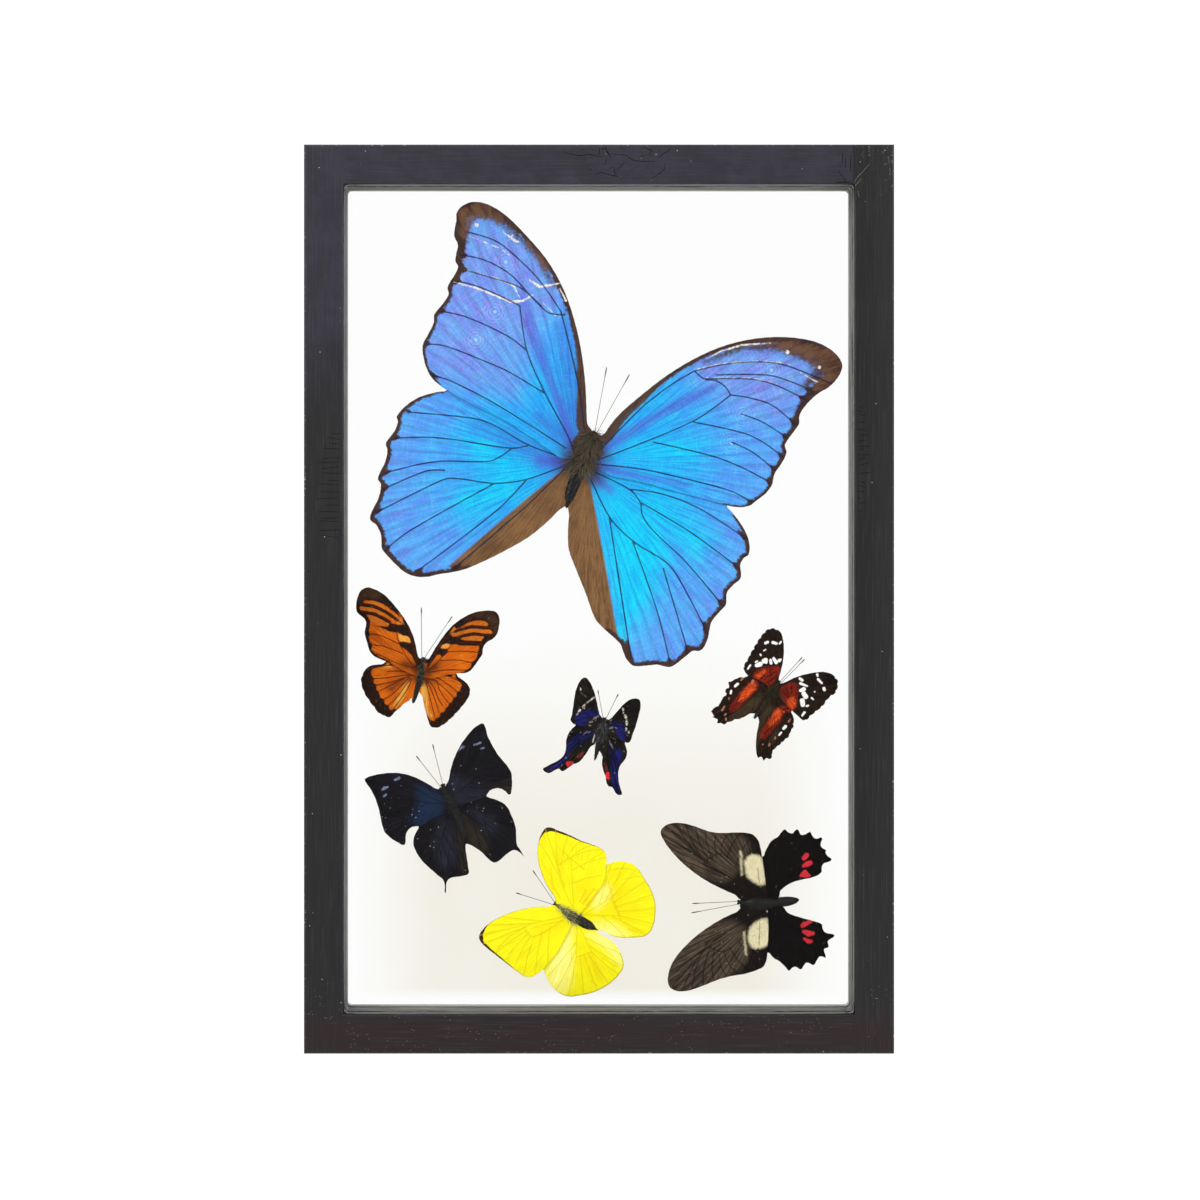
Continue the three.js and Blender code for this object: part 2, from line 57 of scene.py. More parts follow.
MM = 0.001
ROOT = "root"
FRAME_WIDTH, FRAME_HEIGHT, FRAME_DEPTH = 198 * MM, 305 * MM, 20 * MM
FRAME_CENTRE_Z = -143 * MM
FACE_WIDTH = 13.5 * MM
FAR = 60.0  # mm: the value of a field that is nowhere on a wing

Colour = bpy.types.NodeSocket | tuple | str
Point = tuple[float, float]
Path = list[tuple[float, ...]]


# ---- Shader maths --------------------------------------------------------------------------


def linear(code: str) -> tuple[float, float, float, float]:
    """Return the linear colour of a six-digit display colour such as "1e9bff"."""
    parts = [int(code[i:i + 2], 16) / 255 for i in (0, 2, 4)]
    return tuple(c / 12.92 if c <= 0.04045 else ((c + 0.055) / 1.055) ** 2.4 for c in parts) + (1.0,)


def share(code: str, ground: str) -> tuple[float, float, float, float]:
    """Return what a colour must be multiplied by to take the ground colour to this one."""
    pairs = zip(linear(code)[:3], linear(ground)[:3])
    return tuple(max(0.1, min(2.2, a / max(b, 0.002))) for a, b in pairs) + (1.0,)


class Value:
    """A number on its way through a material's nodes, written as Python arithmetic."""

    def __init__(self, nodes: "Nodes", socket: bpy.types.NodeSocket) -> None:
        """Wrap one output socket."""
        self.nodes = nodes
        self.socket = socket

    def _math(self, operation: str, *others: "Value | float", first: float | None = None) -> "Value":
        """Add one Math node.

        Args:
            operation: The node's operation.
            others: What fills the sockets after this value.
            first: What stands before this value, for a reflected form.

        Returns:
            The node's result.
        """
        inputs = [self, *others] if first is None else [first, self]
        node = self.nodes.add("ShaderNodeMath", {"operation": operation}, dict(enumerate(inputs)))
        return Value(self.nodes, node.outputs[0])

    def __add__(self, other: "Value | float") -> "Value":
        """Return the sum."""
        return self._math("ADD", other)

    __radd__ = __add__

    def __sub__(self, other: "Value | float") -> "Value":
        """Return this less the other."""
        return self._math("SUBTRACT", other)

    def __rsub__(self, other: float) -> "Value":
        """Return the other less this."""
        return self._math("SUBTRACT", first=other)

    def __mul__(self, other: "Value | float") -> "Value":
        """Return the product."""
        return self._math("MULTIPLY", other)

    __rmul__ = __mul__

    def size(self) -> "Value":
        """Return the value without its sign."""
        return self._math("ABSOLUTE")

    def sine(self) -> "Value":
        """Return the sine of the value."""
        return self._math("SINE")

    def least(self, other: "Value | float") -> "Value":
        """Return the smaller of the two."""
        return self._math("MINIMUM", other)

    def most(self, other: "Value | float") -> "Value":
        """Return the larger of the two."""
        return self._math("MAXIMUM", other)

    def rise(self, low: float, high: float) -> "Value":
        """Return 0 below low, 1 above high, and a smooth step between them.

        Args:
            low: Where the step begins.
            high: Where it ends. A high below low gives a falling step.

        Returns:
            The step.
        """
        settings = {"interpolation_type": "SMOOTHSTEP"}
        flip = high < low
        inputs = {"Value": self, "From Min": min(low, high), "From Max": max(low, high),
                  "To Min": float(flip), "To Max": float(not flip)}
        return Value(self.nodes, self.nodes.add("ShaderNodeMapRange", settings, inputs).outputs[0])


class Nodes:
    """The node tree of one material, or of the world."""

    def __init__(self, owner: str | bpy.types.World) -> None:
        """Start an empty tree.

        Args:
            owner: The name of a new material, or the world.
        """
        self.owner = bpy.data.materials.new(owner) if isinstance(owner, str) else owner
        self.owner.use_nodes = True
        self.tree = self.owner.node_tree
        self.tree.nodes.clear()

    def add(self, kind: str, settings: dict | None = None, inputs: dict | None = None) -> bpy.types.Node:
        """Add one node.

        Args:
            kind: The node's type.
            settings: Its own settings, which are set first.
            inputs: The value or link of each socket, by name or number.

        Returns:
            The node.
        """
        node = self.tree.nodes.new(kind)
        for key, value in (settings or {}).items():
            setattr(node, key, value)
        for key, value in (inputs or {}).items():
            if isinstance(value, Value):
                value = value.socket
            if isinstance(value, bpy.types.NodeSocket):
                self.tree.links.new(value, node.inputs[key])
            else:
                node.inputs[key].default_value = value
        return node

    def attribute(self, name: str) -> Value:
        """Return a number that the mesh carries at its points."""
        return Value(self, self.add("ShaderNodeAttribute", {"attribute_name": name}).outputs["Fac"])

    def place(self) -> tuple[Value, Value, Value]:
        """Read where the surface is, in the object's own metres.

        Returns:
            Its x, y and z.
        """
        coordinate = self.add("ShaderNodeTexCoord").outputs["Object"]
        split = self.add("ShaderNodeSeparateXYZ", {}, {0: coordinate})
        return tuple(Value(self, out) for out in split.outputs)

    def vector(self, x: Value | float, y: Value | float, z: Value | float = 0.0) -> bpy.types.NodeSocket:
        """Return three numbers as one vector."""
        return self.add("ShaderNodeCombineXYZ", {}, {0: x, 1: y, 2: z}).outputs[0]

    def noise(self, scale: float, detail: float = 3.0, rough: float = 0.55,
              vector: bpy.types.NodeSocket | None = None, stretch: Point | None = None) -> Value:
        """Return a cloudy pattern between 0 and 1.

        Args:
            scale: Its blotches to a unit of the vector.
            detail: How many finer layers it has.
            rough: How strong those are.
            vector: Where it is read, or None for the object's own metres.
            stretch: Scales along x and z, for a pattern drawn out one way.

        Returns:
            The pattern.
        """
        if vector is None:
            x, y, z = self.place()
            along, up = stretch or (1.0, 1.0)
            vector = self.vector(x * along, y, z * up)
        inputs = {"Vector": vector, "Scale": scale, "Detail": detail, "Roughness": rough}
        return Value(self, self.add("ShaderNodeTexNoise", {}, inputs).outputs["Fac"])

    def cells(self, scale: float) -> Value:
        """Return the distance to the nearest of many scattered points, so many to a metre."""
        inputs = {"Scale": scale, "Vector": self.add("ShaderNodeTexCoord").outputs["Object"]}
        return Value(self, self.add("ShaderNodeTexVoronoi", {}, inputs).outputs["Distance"])

    def blend(self, factor: Value | float, first: Colour, second: Colour,
              kind: str = "MIX") -> bpy.types.NodeSocket:
        """Mix two colours.

        Args:
            factor: How far the second is laid over the first, from 0 to 1.
            first: A colour, or its six-digit code.
            second: Another.
            kind: How they are mixed.

        Returns:
            The mixed colour.
        """
        first, second = (linear(end) if isinstance(end, str) else end for end in (first, second))
        settings = {"data_type": "RGBA", "blend_type": kind, "clamp_factor": True}
        return self.add("ShaderNodeMix", settings, {0: factor, 6: first, 7: second}).outputs[2]

    def tint(self, factor: Value | float, colour: Colour, shade: Colour) -> bpy.types.NodeSocket:
        """Return a colour multiplied by a shade as far as the factor goes from 0 to 1."""
        return self.blend(factor, colour, shade, "MULTIPLY")

    def bump(self, height: Value, distance: float, strength: float = 1.0) -> bpy.types.NodeSocket:
        """Return a normal bent by a height of this many metres."""
        return self.add("ShaderNodeBump", {}, {"Height": height, "Distance": distance,
                                               "Strength": strength}).outputs[0]

    def surface(self, **sockets: object) -> bpy.types.Material:
        """Close the material with one Principled shader.

        Args:
            sockets: Its inputs, with _ for each space in a name.

        Returns:
            The material.
        """
        inputs = {name.replace("_", " "): value for name, value in sockets.items()}
        shader = self.add("ShaderNodeBsdfPrincipled", {}, inputs)
        self.add("ShaderNodeOutputMaterial", {}, {"Surface": shader.outputs[0]})
        return self.owner


# ---- Finishes ------------------------------------------------------------------------------


@dataclass(frozen=True)
class BlackPaint:
    """Semi-matte black paint brushed on wood, with a painted violet reflection above and a painted brown
    reflection below.

    The right stile was painted last, so its upright brush marks run over the ends of the rails.
    """

    name: str = "black_paint"
    black: str = "141416"
    # violet and brown are painted reflections: violet on the upper part of the frame, brown along the
    # bottom rail.
    violet: str = "24232e"
    brown: str = "1b1012"
    # stile is painted shade on the right stile, deepest towards its inner edge.
    stile: str = "0d0d0e"
    sheen: str = "3c3c40"
    wall: str = "7c7b78"
    grime: str = "4c4b48"
    shadow: str = "2e2d2b"
    glass_edge_glint: str = "c8c6c0"
    wrinkle: str = "030304"
    grit: str = "8f7468"
    worn: str = "aaa7a0"
    roughness: float = 0.42

    def material(self) -> bpy.types.Material:
        """Make the finish.

        Returns:
            The material.
        """
        nodes = Nodes(self.name)
        x, y, z = nodes.place()
        up = z - FRAME_CENTRE_Z
        side = FRAME_WIDTH / 2 - x.size()
        inset = side.least(FRAME_HEIGHT / 2 - up.size())
        across = nodes.noise(2600, 2, 0.6, stretch=(0.02, 1.0))
        upright = nodes.noise(2600, 2, 0.6, stretch=(1.0, 0.02))
        on_stile = (side + (upright - 0.5) * (4 * MM)).rise(FACE_WIDTH + 1.2 * MM, FACE_WIDTH - 0.2 * MM)
        brush = across + (upright - across) * on_stile
        cloud = nodes.noise(60, 3, 0.5)
        peel = nodes.noise(1500, 2, 0.5)
        drift = (cloud - 0.5) * (40 * MM)
        blotch = nodes.noise(110, 4, 0.65).rise(0.4, 0.62)
        # A painted violet reflection, broken by blotches, lies over the upper part of the frame, and a
        # painted brown reflection runs along the bottom rail.
        violet = (up + drift).rise(50 * MM, 110 * MM) * (blotch * 0.45 + 0.55)
        tone = nodes.blend(violet, self.black, self.violet)
        tone = nodes.blend((up + drift * 0.2).rise(-134 * MM, -146 * MM), tone, self.brown)
        # The right stile drops the violet reflection over its upper part, and painted shade darkens it
        # towards its inner edge.
        right = on_stile * x.rise(0, MM)
        tone = nodes.blend(right * up.rise(-100 * MM, -60 * MM), tone, self.black)
        stile_shade = right * side.rise(2 * MM, 11 * MM) * up.rise(-125 * MM, -60 * MM)
        tone = nodes.blend(stile_shade, tone, self.stile)
        tone = nodes.blend(brush.rise(0.5, 0.72) * 0.22, tone, self.sheen)
        depth = y + FRAME_DEPTH
        wall = depth.rise(0.8 * MM, 6.0 * MM) * inset.rise(FACE_WIDTH - 0.6 * MM, FACE_WIDTH)
        streaks = nodes.noise(1.0, 4, 0.7, vector=nodes.vector(depth * 1500.0, (x + z) * 60.0))
        wall_grime_shade_and_glint = nodes.blend(streaks.rise(0.42, 0.6), self.wall, self.grime)
        # Painted shade darkens the inner wall around the rear pane, and a painted highlight runs along the
        # pane's edge just behind it.
        shady = depth.rise(12.5 * MM, 14.0 * MM) * depth.rise(17.0 * MM, 16.0 * MM)
        wall_grime_shade_and_glint = nodes.blend(shady * 0.75, wall_grime_shade_and_glint, self.shadow)
        wall_grime_shade_and_glint = nodes.blend(depth.rise(16.4 * MM, 17.4 * MM) * 0.9, wall_grime_shade_and_glint, self.glass_edge_glint)
        tone = nodes.blend(wall * depth.rise(19.7 * MM, 18.9 * MM), tone, wall_grime_shade_and_glint)
        # The paint is chipped along the outer edges, most of all at the upper right corner.
        rubbed = x.rise(80 * MM, 97 * MM) * up.rise(132 * MM, 148 * MM) * inset.rise(6 * MM, 0.3 * MM)
        edge = inset.rise(0.9 * MM, 0.1 * MM) * 0.7
        chips = nodes.noise(900, 4, 0.75).rise(0.6, 0.64) * rubbed.most(edge)
        chips = chips * depth.rise(1.6 * MM, 0.3 * MM)
        specks = nodes.cells(260).rise(0.055, 0.03) * nodes.noise(60, 1).rise(0.52, 0.6)
        grit = nodes.cells(900).rise(0.16, 0.1) * nodes.noise(170, 2).rise(0.5, 0.6)
        grit = grit * up.rise(-112 * MM, -138 * MM)
        # Where the wood was patched the paint has crawled into a net of wrinkles.
        patched = (x - 6 * MM).size().rise(22 * MM, 10 * MM) * up.rise(139 * MM, 142 * MM)
        corner = x.rise(74 * MM, 80 * MM) * x.rise(98 * MM, 88 * MM) * up.rise(118 * MM, 134 * MM)
        patched = patched.most(corner)
        crawl = (nodes.noise(330, 3, 0.6) - 0.5).size().rise(0.022, 0.006) * patched
        crawl = crawl * nodes.noise(210, 2).rise(0.47, 0.56)
        tone = nodes.blend(crawl * 0.9, tone, self.wrinkle)
        tone = nodes.blend(grit * 0.5, tone, self.grit)
        colour = nodes.blend(chips.most(specks * 0.75), tone, self.worn)
        height = brush * 0.8 + peel * 0.25 + cloud * 0.5 - chips * 0.8 - crawl * 1.5
        rough = brush * 0.2 + (self.roughness - 0.1) + chips * 0.25 + wall * 0.3
        return nodes.surface(Base_Color=colour, Roughness=rough, Specular_IOR_Level=0.27,
                             Normal=nodes.bump(height, 0.09 * MM, 0.7))


@dataclass(frozen=True)
class PaintFlaw:
    """The dull inside of a crack, or bare filler where the paint is scratched."""

    name: str
    colour: str

    def material(self) -> bpy.types.Material:
        """Make the finish.

        Returns:
            The material.
        """
        nodes = Nodes(self.name)
        tone = nodes.noise(1800, 2, 0.6).rise(0.3, 0.7)
        dim = tuple(c * 0.45 for c in linear(self.colour)[:3]) + (1.0,)
        return nodes.surface(Base_Color=nodes.blend(tone, self.colour, dim), Roughness=0.85,
                             Specular_IOR_Level=0.1)


@dataclass(frozen=True)
class ClearGlass:
    """Thin picture glass: it mirrors a little at its face and lets the rest straight through.

    `film` is how strongly a warm tint clouds the lower half, away from the edges.
    """

    name: str
    film: float = 0.0
    mirror: float = 0.35

    def material(self) -> bpy.types.Material:
        """Make the finish.

        Returns:
            The material.
        """
        nodes = Nodes(self.name)
        clear = nodes.add("ShaderNodeBsdfTransparent", {}, {"Color": (0.985, 0.987, 0.985, 1)})
        through = clear.outputs[0]
        if self.film:
            x, _, z = nodes.place()
            up = z - FRAME_CENTRE_Z
            cloud = nodes.noise(16, 4, 0.6)
            # The warm tint deepens towards the bottom, stops short of the bottom edge and the sides, and is
            # clouded by noise.
            dust = (up + cloud * (30 * MM)).rise(8 * MM, -75 * MM) * x.size().rise(86 * MM, 50 * MM)
            dust = dust * up.rise(-137 * MM, -132 * MM) * (cloud * 0.8 + 0.5) * self.film
            warm_tint = nodes.add("ShaderNodeBsdfTransparent", {}, {"Color": (0.93, 0.91, 0.86, 1)})
            mixed = nodes.add("ShaderNodeMixShader", {}, {0: dust, 1: through, 2: warm_tint.outputs[0]})
            through = mixed.outputs[0]
        fresnel = Value(nodes, nodes.add("ShaderNodeFresnel", {}, {"IOR": 1.45}).outputs[0])
        gloss = nodes.add("ShaderNodeBsdfGlossy", {}, {"Roughness": 0.03})
        shaders = {0: fresnel * self.mirror, 1: through, 2: gloss.outputs[0]}
        face = nodes.add("ShaderNodeMixShader", {}, shaders)
        nodes.add("ShaderNodeOutputMaterial", {}, {"Surface": face.outputs[0]})
        return nodes.owner


@dataclass(frozen=True)
class BrassedSteel:
    """Thin steel strip with a brass wash, drawn along its length."""

    name: str = "brassed_steel"
    brass: str = "bda56c"
    stained: str = "857048"

    def material(self) -> bpy.types.Material:
        """Make the finish.

        Returns:
            The material.
        """
        nodes = Nodes(self.name)
        lines = nodes.noise(3000, 3, 0.6, stretch=(0.03, 1.0))
        stain = nodes.noise(260, 4, 0.6)
        colour = nodes.blend(stain.rise(0.45, 0.75), self.brass, self.stained)
        return nodes.surface(Base_Color=colour, Metallic=1.0, Roughness=lines * 0.25 + 0.22 + stain * 0.1,
                             Normal=nodes.bump(lines, 0.02 * MM, 0.5))


@dataclass(frozen=True)
class DriedGlue:
    """A drop of clear glue, dried a little yellow."""

    name: str = "dried_glue"
    clear: str = "e9e2c8"
    yellowed: str = "cfc39a"

    def material(self) -> bpy.types.Material:
        """Make the finish.

        Returns:
            The material.
        """
        nodes = Nodes(self.name)
        colour = nodes.blend(nodes.noise(900, 2), self.clear, self.yellowed)
        return nodes.surface(Base_Color=colour, Roughness=0.22, Coat_Weight=0.4)


@dataclass(frozen=True)
class Cuticle:
    """The hard skin of an insect's body."""

    name: str
    colour: str
    pale: str
    roughness: float = 0.5

    def material(self) -> bpy.types.Material:
        """Make the finish.

        Returns:
            The material.
        """
        nodes = Nodes(self.name)
        patches = nodes.noise(900, 4, 0.65)
        fine = nodes.noise(7000, 2, 0.6)
        colour = nodes.blend(patches.rise(0.5, 0.72), self.colour, self.pale)
        return nodes.surface(Base_Color=colour, Roughness=fine * 0.3 + (self.roughness - 0.15),
                             Specular_IOR_Level=0.22, Normal=nodes.bump(fine + patches, 0.05 * MM, 0.6))


@dataclass(frozen=True)
class Fur:
    """Fine dry hair, darker at some tufts and paler at others."""

    name: str
    colour: str
    pale: str

    def material(self) -> bpy.types.Material:
        """Make the finish.

        Returns:
            The material.
        """
        nodes = Nodes(self.name)
        tone = nodes.attribute("tone")
        colour = nodes.blend(tone, self.colour, self.pale)
        return nodes.surface(Base_Color=colour, Roughness=0.7, Specular_IOR_Level=0.08)


WORN_SHADE = (0.45, 0.4, 0.38, 1.0)
FOLD_SHADE = (0.3, 0.28, 0.26, 1.0)
GRAIN_SHADE = (0.5, 0.5, 0.5, 1.0)


class Stage(Enum):
    """When a layer of colour goes on: before the wing's streaks, after them, or over its veins too."""

    UNDER = 0
    OVER = 1
    TOP = 2


@dataclass(frozen=True)
class Layer:
    """One colour laid over a wing wherever its field is below zero.

    Sizes are in millimetres: `soft` is how wide its edge fades, `ragged` how far the edge wanders, and
    `veins` how far it runs out along the veins. With `span` it grows from the first of two values of
    its field to the second instead. Layers above the streaks have streaks of their own as far as they are
    `worn`.
    """

    field: str
    colour: str
    soft: float = 0.2
    ragged: float = 0.1
    cover: float = 1.0
    flecks: float = 0.0
    veins: float = 0.0
    span: tuple[float, float] | None = None
    stage: Stage = Stage.OVER
    worn: float = 0.5


@dataclass(frozen=True)
class WingScales:
    """The scales of one side of a wing: a ground colour, its streaks, and the layers over it."""

    name: str
    ground: str
    shade: str
    layers: tuple[Layer, ...] = ()
    light: str | None = None
    vein: str = "20140c"
    vein_width: float = 0.2
    vein_cover: float = 0.8
    streak: float = 0.5
    ripple: float = 0.0
    ringed: str = ""
    pleats: float = 0.0
    pleat_cover: float = 0.8
    specks: float = 0.0
    dust: str = "c4c0bc"
    speckle: float = 0.4
    roughness: float = 0.6
    metallic: float = 0.0
    specular: float = 0.15
    relief: float = 0.6

    def material(self) -> bpy.types.Material:
        """Make the finish.

        Returns:
            The material.
        """
        nodes = Nodes(self.name)
        ray, reach, vein = (nodes.attribute(name) for name in ("ray", "reach", "vein"))
        rays = nodes.noise(1.0, 4, 0.65, vector=nodes.vector(ray * 46.0, reach * 0.09))
        threads = nodes.noise(1.0, 3, 0.6, vector=nodes.vector(ray * 90.0, reach * 0.2, 7.0))
        rows = nodes.noise(1.0, 3, 0.55, vector=nodes.vector(ray * 7.0, reach * 1.9, 3.0))
        grain = nodes.noise(2600, 3, 0.65)
        cloud = nodes.noise(150, 3, 0.55)
        wander = nodes.noise(900, 3, 0.6) * 0.6 + rays * 0.6 - 0.6
        worn = (rays * 0.5 + threads * 0.3 + cloud * 0.2).rise(0.42, 0.6)
        fleck = grain.rise(0.52, 0.66)
        along = vein.rise(1.5, 0.0)

        def laid(colour: Colour, stage: Stage) -> Colour:
            """Lay the layers of one stage over a colour.

            Args:
                colour: What is beneath them.
                stage: The stage.

            Returns:
                The colour with its layers.
            """
            for layer in (layer for layer in self.layers if layer.stage is stage):
                place = nodes.attribute(layer.field)
                if layer.span:
                    inside = (place + cloud * 8.0 - 4.0).rise(*layer.span) * layer.cover
                else:
                    edge = place + wander * (2.0 * layer.ragged)
                    if layer.veins:
                        edge = edge - along * layer.veins
                    inside = edge.rise(layer.soft / 2, -layer.soft / 2) * layer.cover
                if layer.flecks:
                    inside = inside * (1.0 - fleck * layer.flecks)
                own = layer.colour
                if stage is not Stage.UNDER:
                    own = nodes.tint(worn * layer.worn, own, WORN_SHADE)
                colour = nodes.blend(inside, colour, own)
            return colour

        dark, light = share(self.shade, self.ground), share(self.light or self.ground, self.ground)
        colour = laid(self.ground, Stage.UNDER)
        colour = nodes.tint((rays * 0.75 + cloud * 0.25).rise(0.4, 0.62) * self.streak, colour, dark)
        if self.light:
            colour = nodes.tint(threads.rise(0.5, 0.72) * self.streak, colour, light)
            colour = nodes.tint(rows.rise(0.5, 0.64) * self.ripple, colour, light)
        if self.ringed:
            around = nodes.attribute(self.ringed)
            wave = (around * 6.0 + wander * 3.0).sine().rise(0.0, 0.9)
            colour = nodes.tint(wave * around.rise(4.6, 0.6) * 0.55, colour, light)
        if self.pleats:
            fold = (ray * self.pleats + wander * 0.8).sine().rise(0.2, 0.95)
            colour = nodes.tint(fold * reach.rise(4, 9) * self.pleat_cover, colour, FOLD_SHADE)
        colour = laid(colour, Stage.OVER)
        line = vein.rise(self.vein_width, self.vein_width * 0.35) * self.vein_cover
        colour = nodes.blend(line * (rays * 0.8 + 0.5), colour, self.vein)
        colour = laid(colour, Stage.TOP)
        colour = nodes.tint(grain.rise(0.46, 0.62) * self.speckle, colour, GRAIN_SHADE)
        if self.specks:
            dots = nodes.cells(640).rise(0.13, 0.07) * nodes.noise(230, 2).rise(0.5, 0.56) * self.specks
            colour = nodes.blend(dots, colour, self.dust)
        height = grain * 0.5 + rows * 0.9 + rays * 1.1 + threads * 0.5
        rough = grain * 0.2 + (self.roughness - 0.1)
        return nodes.surface(Base_Color=colour, Roughness=rough, Metallic=self.metallic,
                             Specular_IOR_Level=self.specular,
                             Normal=nodes.bump(height, 0.06 * MM, self.relief))


# ---- Outlines, fields and wings ------------------------------------------------------------


@dataclass(frozen=True)
class Grid:
    """The grid that one butterfly is drawn on, x to the right and y down."""

    thorax: Point
    place: Point
    wingspan: float
    tips: tuple[Point, Point]

    @property
    def centre(self) -> np.ndarray:
        """Return where the thorax is, as x and z in millimetres."""
        return np.array([self.place[0], FRAME_CENTRE_Z / MM + self.place[1]])

    @property
    def unit(self) -> float:
        """Return the millimetres of one grid unit."""
        (ax, ay), (bx, by) = self.tips
        return self.wingspan / math.hypot(bx - ax, by - ay)

    def flat(self, points: Path) -> np.ndarray:
        """Turn points of the grid into places on the frame.

        Args:
            points: The points. What follows their x and y is left out.

        Returns:
            Their x and z in millimetres.
        """
        grid = np.array([point[:2] for point in points], float)
        return (grid - self.thorax) * self.unit * (1, -1) + self.centre


def drawn(text: str) -> list[Path]:
    """Return lines written as "x,y x,y,half-width ...", one line from the next by a slash."""
    return [[tuple(float(number) for number in point.split(",")) for point in line.split()]
            for line in text.split("/")]


def nearest_on(points: np.ndarray, path: np.ndarray, radii: np.ndarray) -> tuple[np.ndarray, ...]:
    """Return where each point is nearest to a chain of tapering rods.

    Args:
        points: N by 2 places.
        path: The rods' corners.
        radii: The radius at each corner.

    Returns:
        N distances, negative inside the rods, the N nearest places on their axis and the N radii there.
    """
    if len(path) == 1:
        path, radii = np.repeat(path, 2, axis=0), np.repeat(radii, 2)
    best = np.full(len(points), FAR)
    place = np.zeros((len(points), 2))
    radius = np.zeros(len(points))
    for a, b, ra, rb in zip(path[:-1], path[1:], radii[:-1], radii[1:]):
        ab = b - a
        t = np.clip((points - a) @ ab / max(ab @ ab, 1e-12), 0, 1)
        at = a + t[:, None] * ab
        half = ra + (rb - ra) * t
        distance = np.linalg.norm(points - at, axis=1) - half
        closer = distance < best
        best[closer], place[closer], radius[closer] = distance[closer], at[closer], half[closer]
    return best, place, radius


def chain_distance(points: np.ndarray, path: np.ndarray, radii: np.ndarray) -> np.ndarray:
    """Return the distance from each point to a chain of tapering rods, negative inside them."""
    return nearest_on(points, path, radii)[0]


def plate_outline(node: str) -> tuple[np.ndarray, float]:
    """Read the outline of a wing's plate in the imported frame.

    Args:
        node: The plate's node.

    Returns:
        The x and z of its front outline, and the y of its middle, in millimetres.
    """
    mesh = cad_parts[node].data
    corners = np.array([v.co for v in mesh.vertices]) / MM
    places, index = np.unique(np.round(corners, 3), axis=0, return_inverse=True)
    index = index.reshape(-1)
    front = [[index[v] for v in f.vertices] for f in mesh.polygons if f.normal.y < -0.5]
    sides = {(a, b) for face in front for a, b in zip(face, face[1:] + face[:1])}
    after = {a: b for a, b in sides if (b, a) not in sides}
    loop = [min(after)]
    while after[loop[-1]] != loop[0]:
        loop.append(after[loop[-1]])
    flat = places[loop][:, [0, 2]]
    flat = flat[np.linalg.norm(flat - np.roll(flat, 1, axis=0), axis=1) > 0.05]
    return flat, (corners[:, 1].min() + corners[:, 1].max()) / 2


def is_inside(points: np.ndarray, loop: np.ndarray) -> np.ndarray:
    """Tell which points are inside a closed loop.

    Args:
        points: N by 2 places.
        loop: The loop's corners.

    Returns:
        N truth values.
    """
    inside = np.zeros(len(points), bool)
    for a, b in zip(loop, np.roll(loop, -1, axis=0)):
        crosses = (a[1] > points[:, 1]) != (b[1] > points[:, 1])
        slope = (b[0] - a[0]) / (b[1] - a[1]) if b[1] != a[1] else 0.0
        inside ^= crosses & (points[:, 0] < a[0] + (points[:, 1] - a[1]) * slope)
    return inside


def smooth_line(points: np.ndarray, step: float, closed: bool) -> np.ndarray:
    """Return a smooth curve through points, with about this step between its own.

    Args:
        points: The points it passes.
        step: The wanted spacing.
        closed: Whether the last point joins the first.

    Returns:
        The curve's points.
    """
    count = len(points)
    spans = count if closed else count - 1
    out = []
    for i in range(spans):
        if closed:
            p = [points[(i + k) % count] for k in (-1, 0, 1, 2)]
        else:
            p = [points[min(max(i + k, 0), count - 1)] for k in (-1, 0, 1, 2)]
        pieces = max(1, round(np.linalg.norm(p[2] - p[1]) / step))
        span = np.linalg.norm(p[2] - p[1])
        # Each tangent is held to the length of its own span, so that a tooth stays a tooth.
        m1 = _tangent(p[0], p[1], p[2], span)
        m2 = _tangent(p[1], p[2], p[3], span)
        t = np.arange(pieces)[:, None] / pieces
        out.append((2 * t**3 - 3 * t**2 + 1) * p[1] + (t**3 - 2 * t**2 + t) * m1
                   + (3 * t**2 - 2 * t**3) * p[2] + (t**3 - t**2) * m2)
    curve = np.concatenate(out)
    return curve if closed else np.vstack([curve, points[-1]])


def _tangent(before: np.ndarray, at: np.ndarray, after: np.ndarray, span: float) -> np.ndarray:
    """Work out a curve's tangent, which is nothing where the curve turns back.

    Args:
        before: The point before.
        at: The point.
        after: The point after.
        span: The tangent's length.

    Returns:
        The tangent.
    """
    way = after - before
    size = np.linalg.norm(way)
    turn = np.dot(at - before, after - at)
    if size < 1e-9 or turn <= 0:
        return np.zeros(2)
    return way / size * span


@dataclass(frozen=True)
class WingMarks:
    """What is drawn on one wing, on its butterfly's grid, as `drawn` reads it.

    `veins` are open lines. `strokes` are lines or dots with a half width at each point, `borders` follow
    the wing's edge past the points given with a width inwards, and `patches` are closed shapes. Each
    is filed under the name of its field. `teeth` are stretches of notched edge: first point, last
    point, how many, and how deep in millimetres. `tuck` is how much further off, in millimetres, the edge
    is drawn in beneath the body.
    """

    hinge: Point
    veins: str | list[Path] = ""
    strokes: dict[str, str] = field(default_factory=dict)
    borders: dict[str, str] = field(default_factory=dict)
    patches: dict[str, str] = field(default_factory=dict)
    teeth: tuple[tuple[Point, Point, int, float], ...] = ()
    tuck: float = 0.0


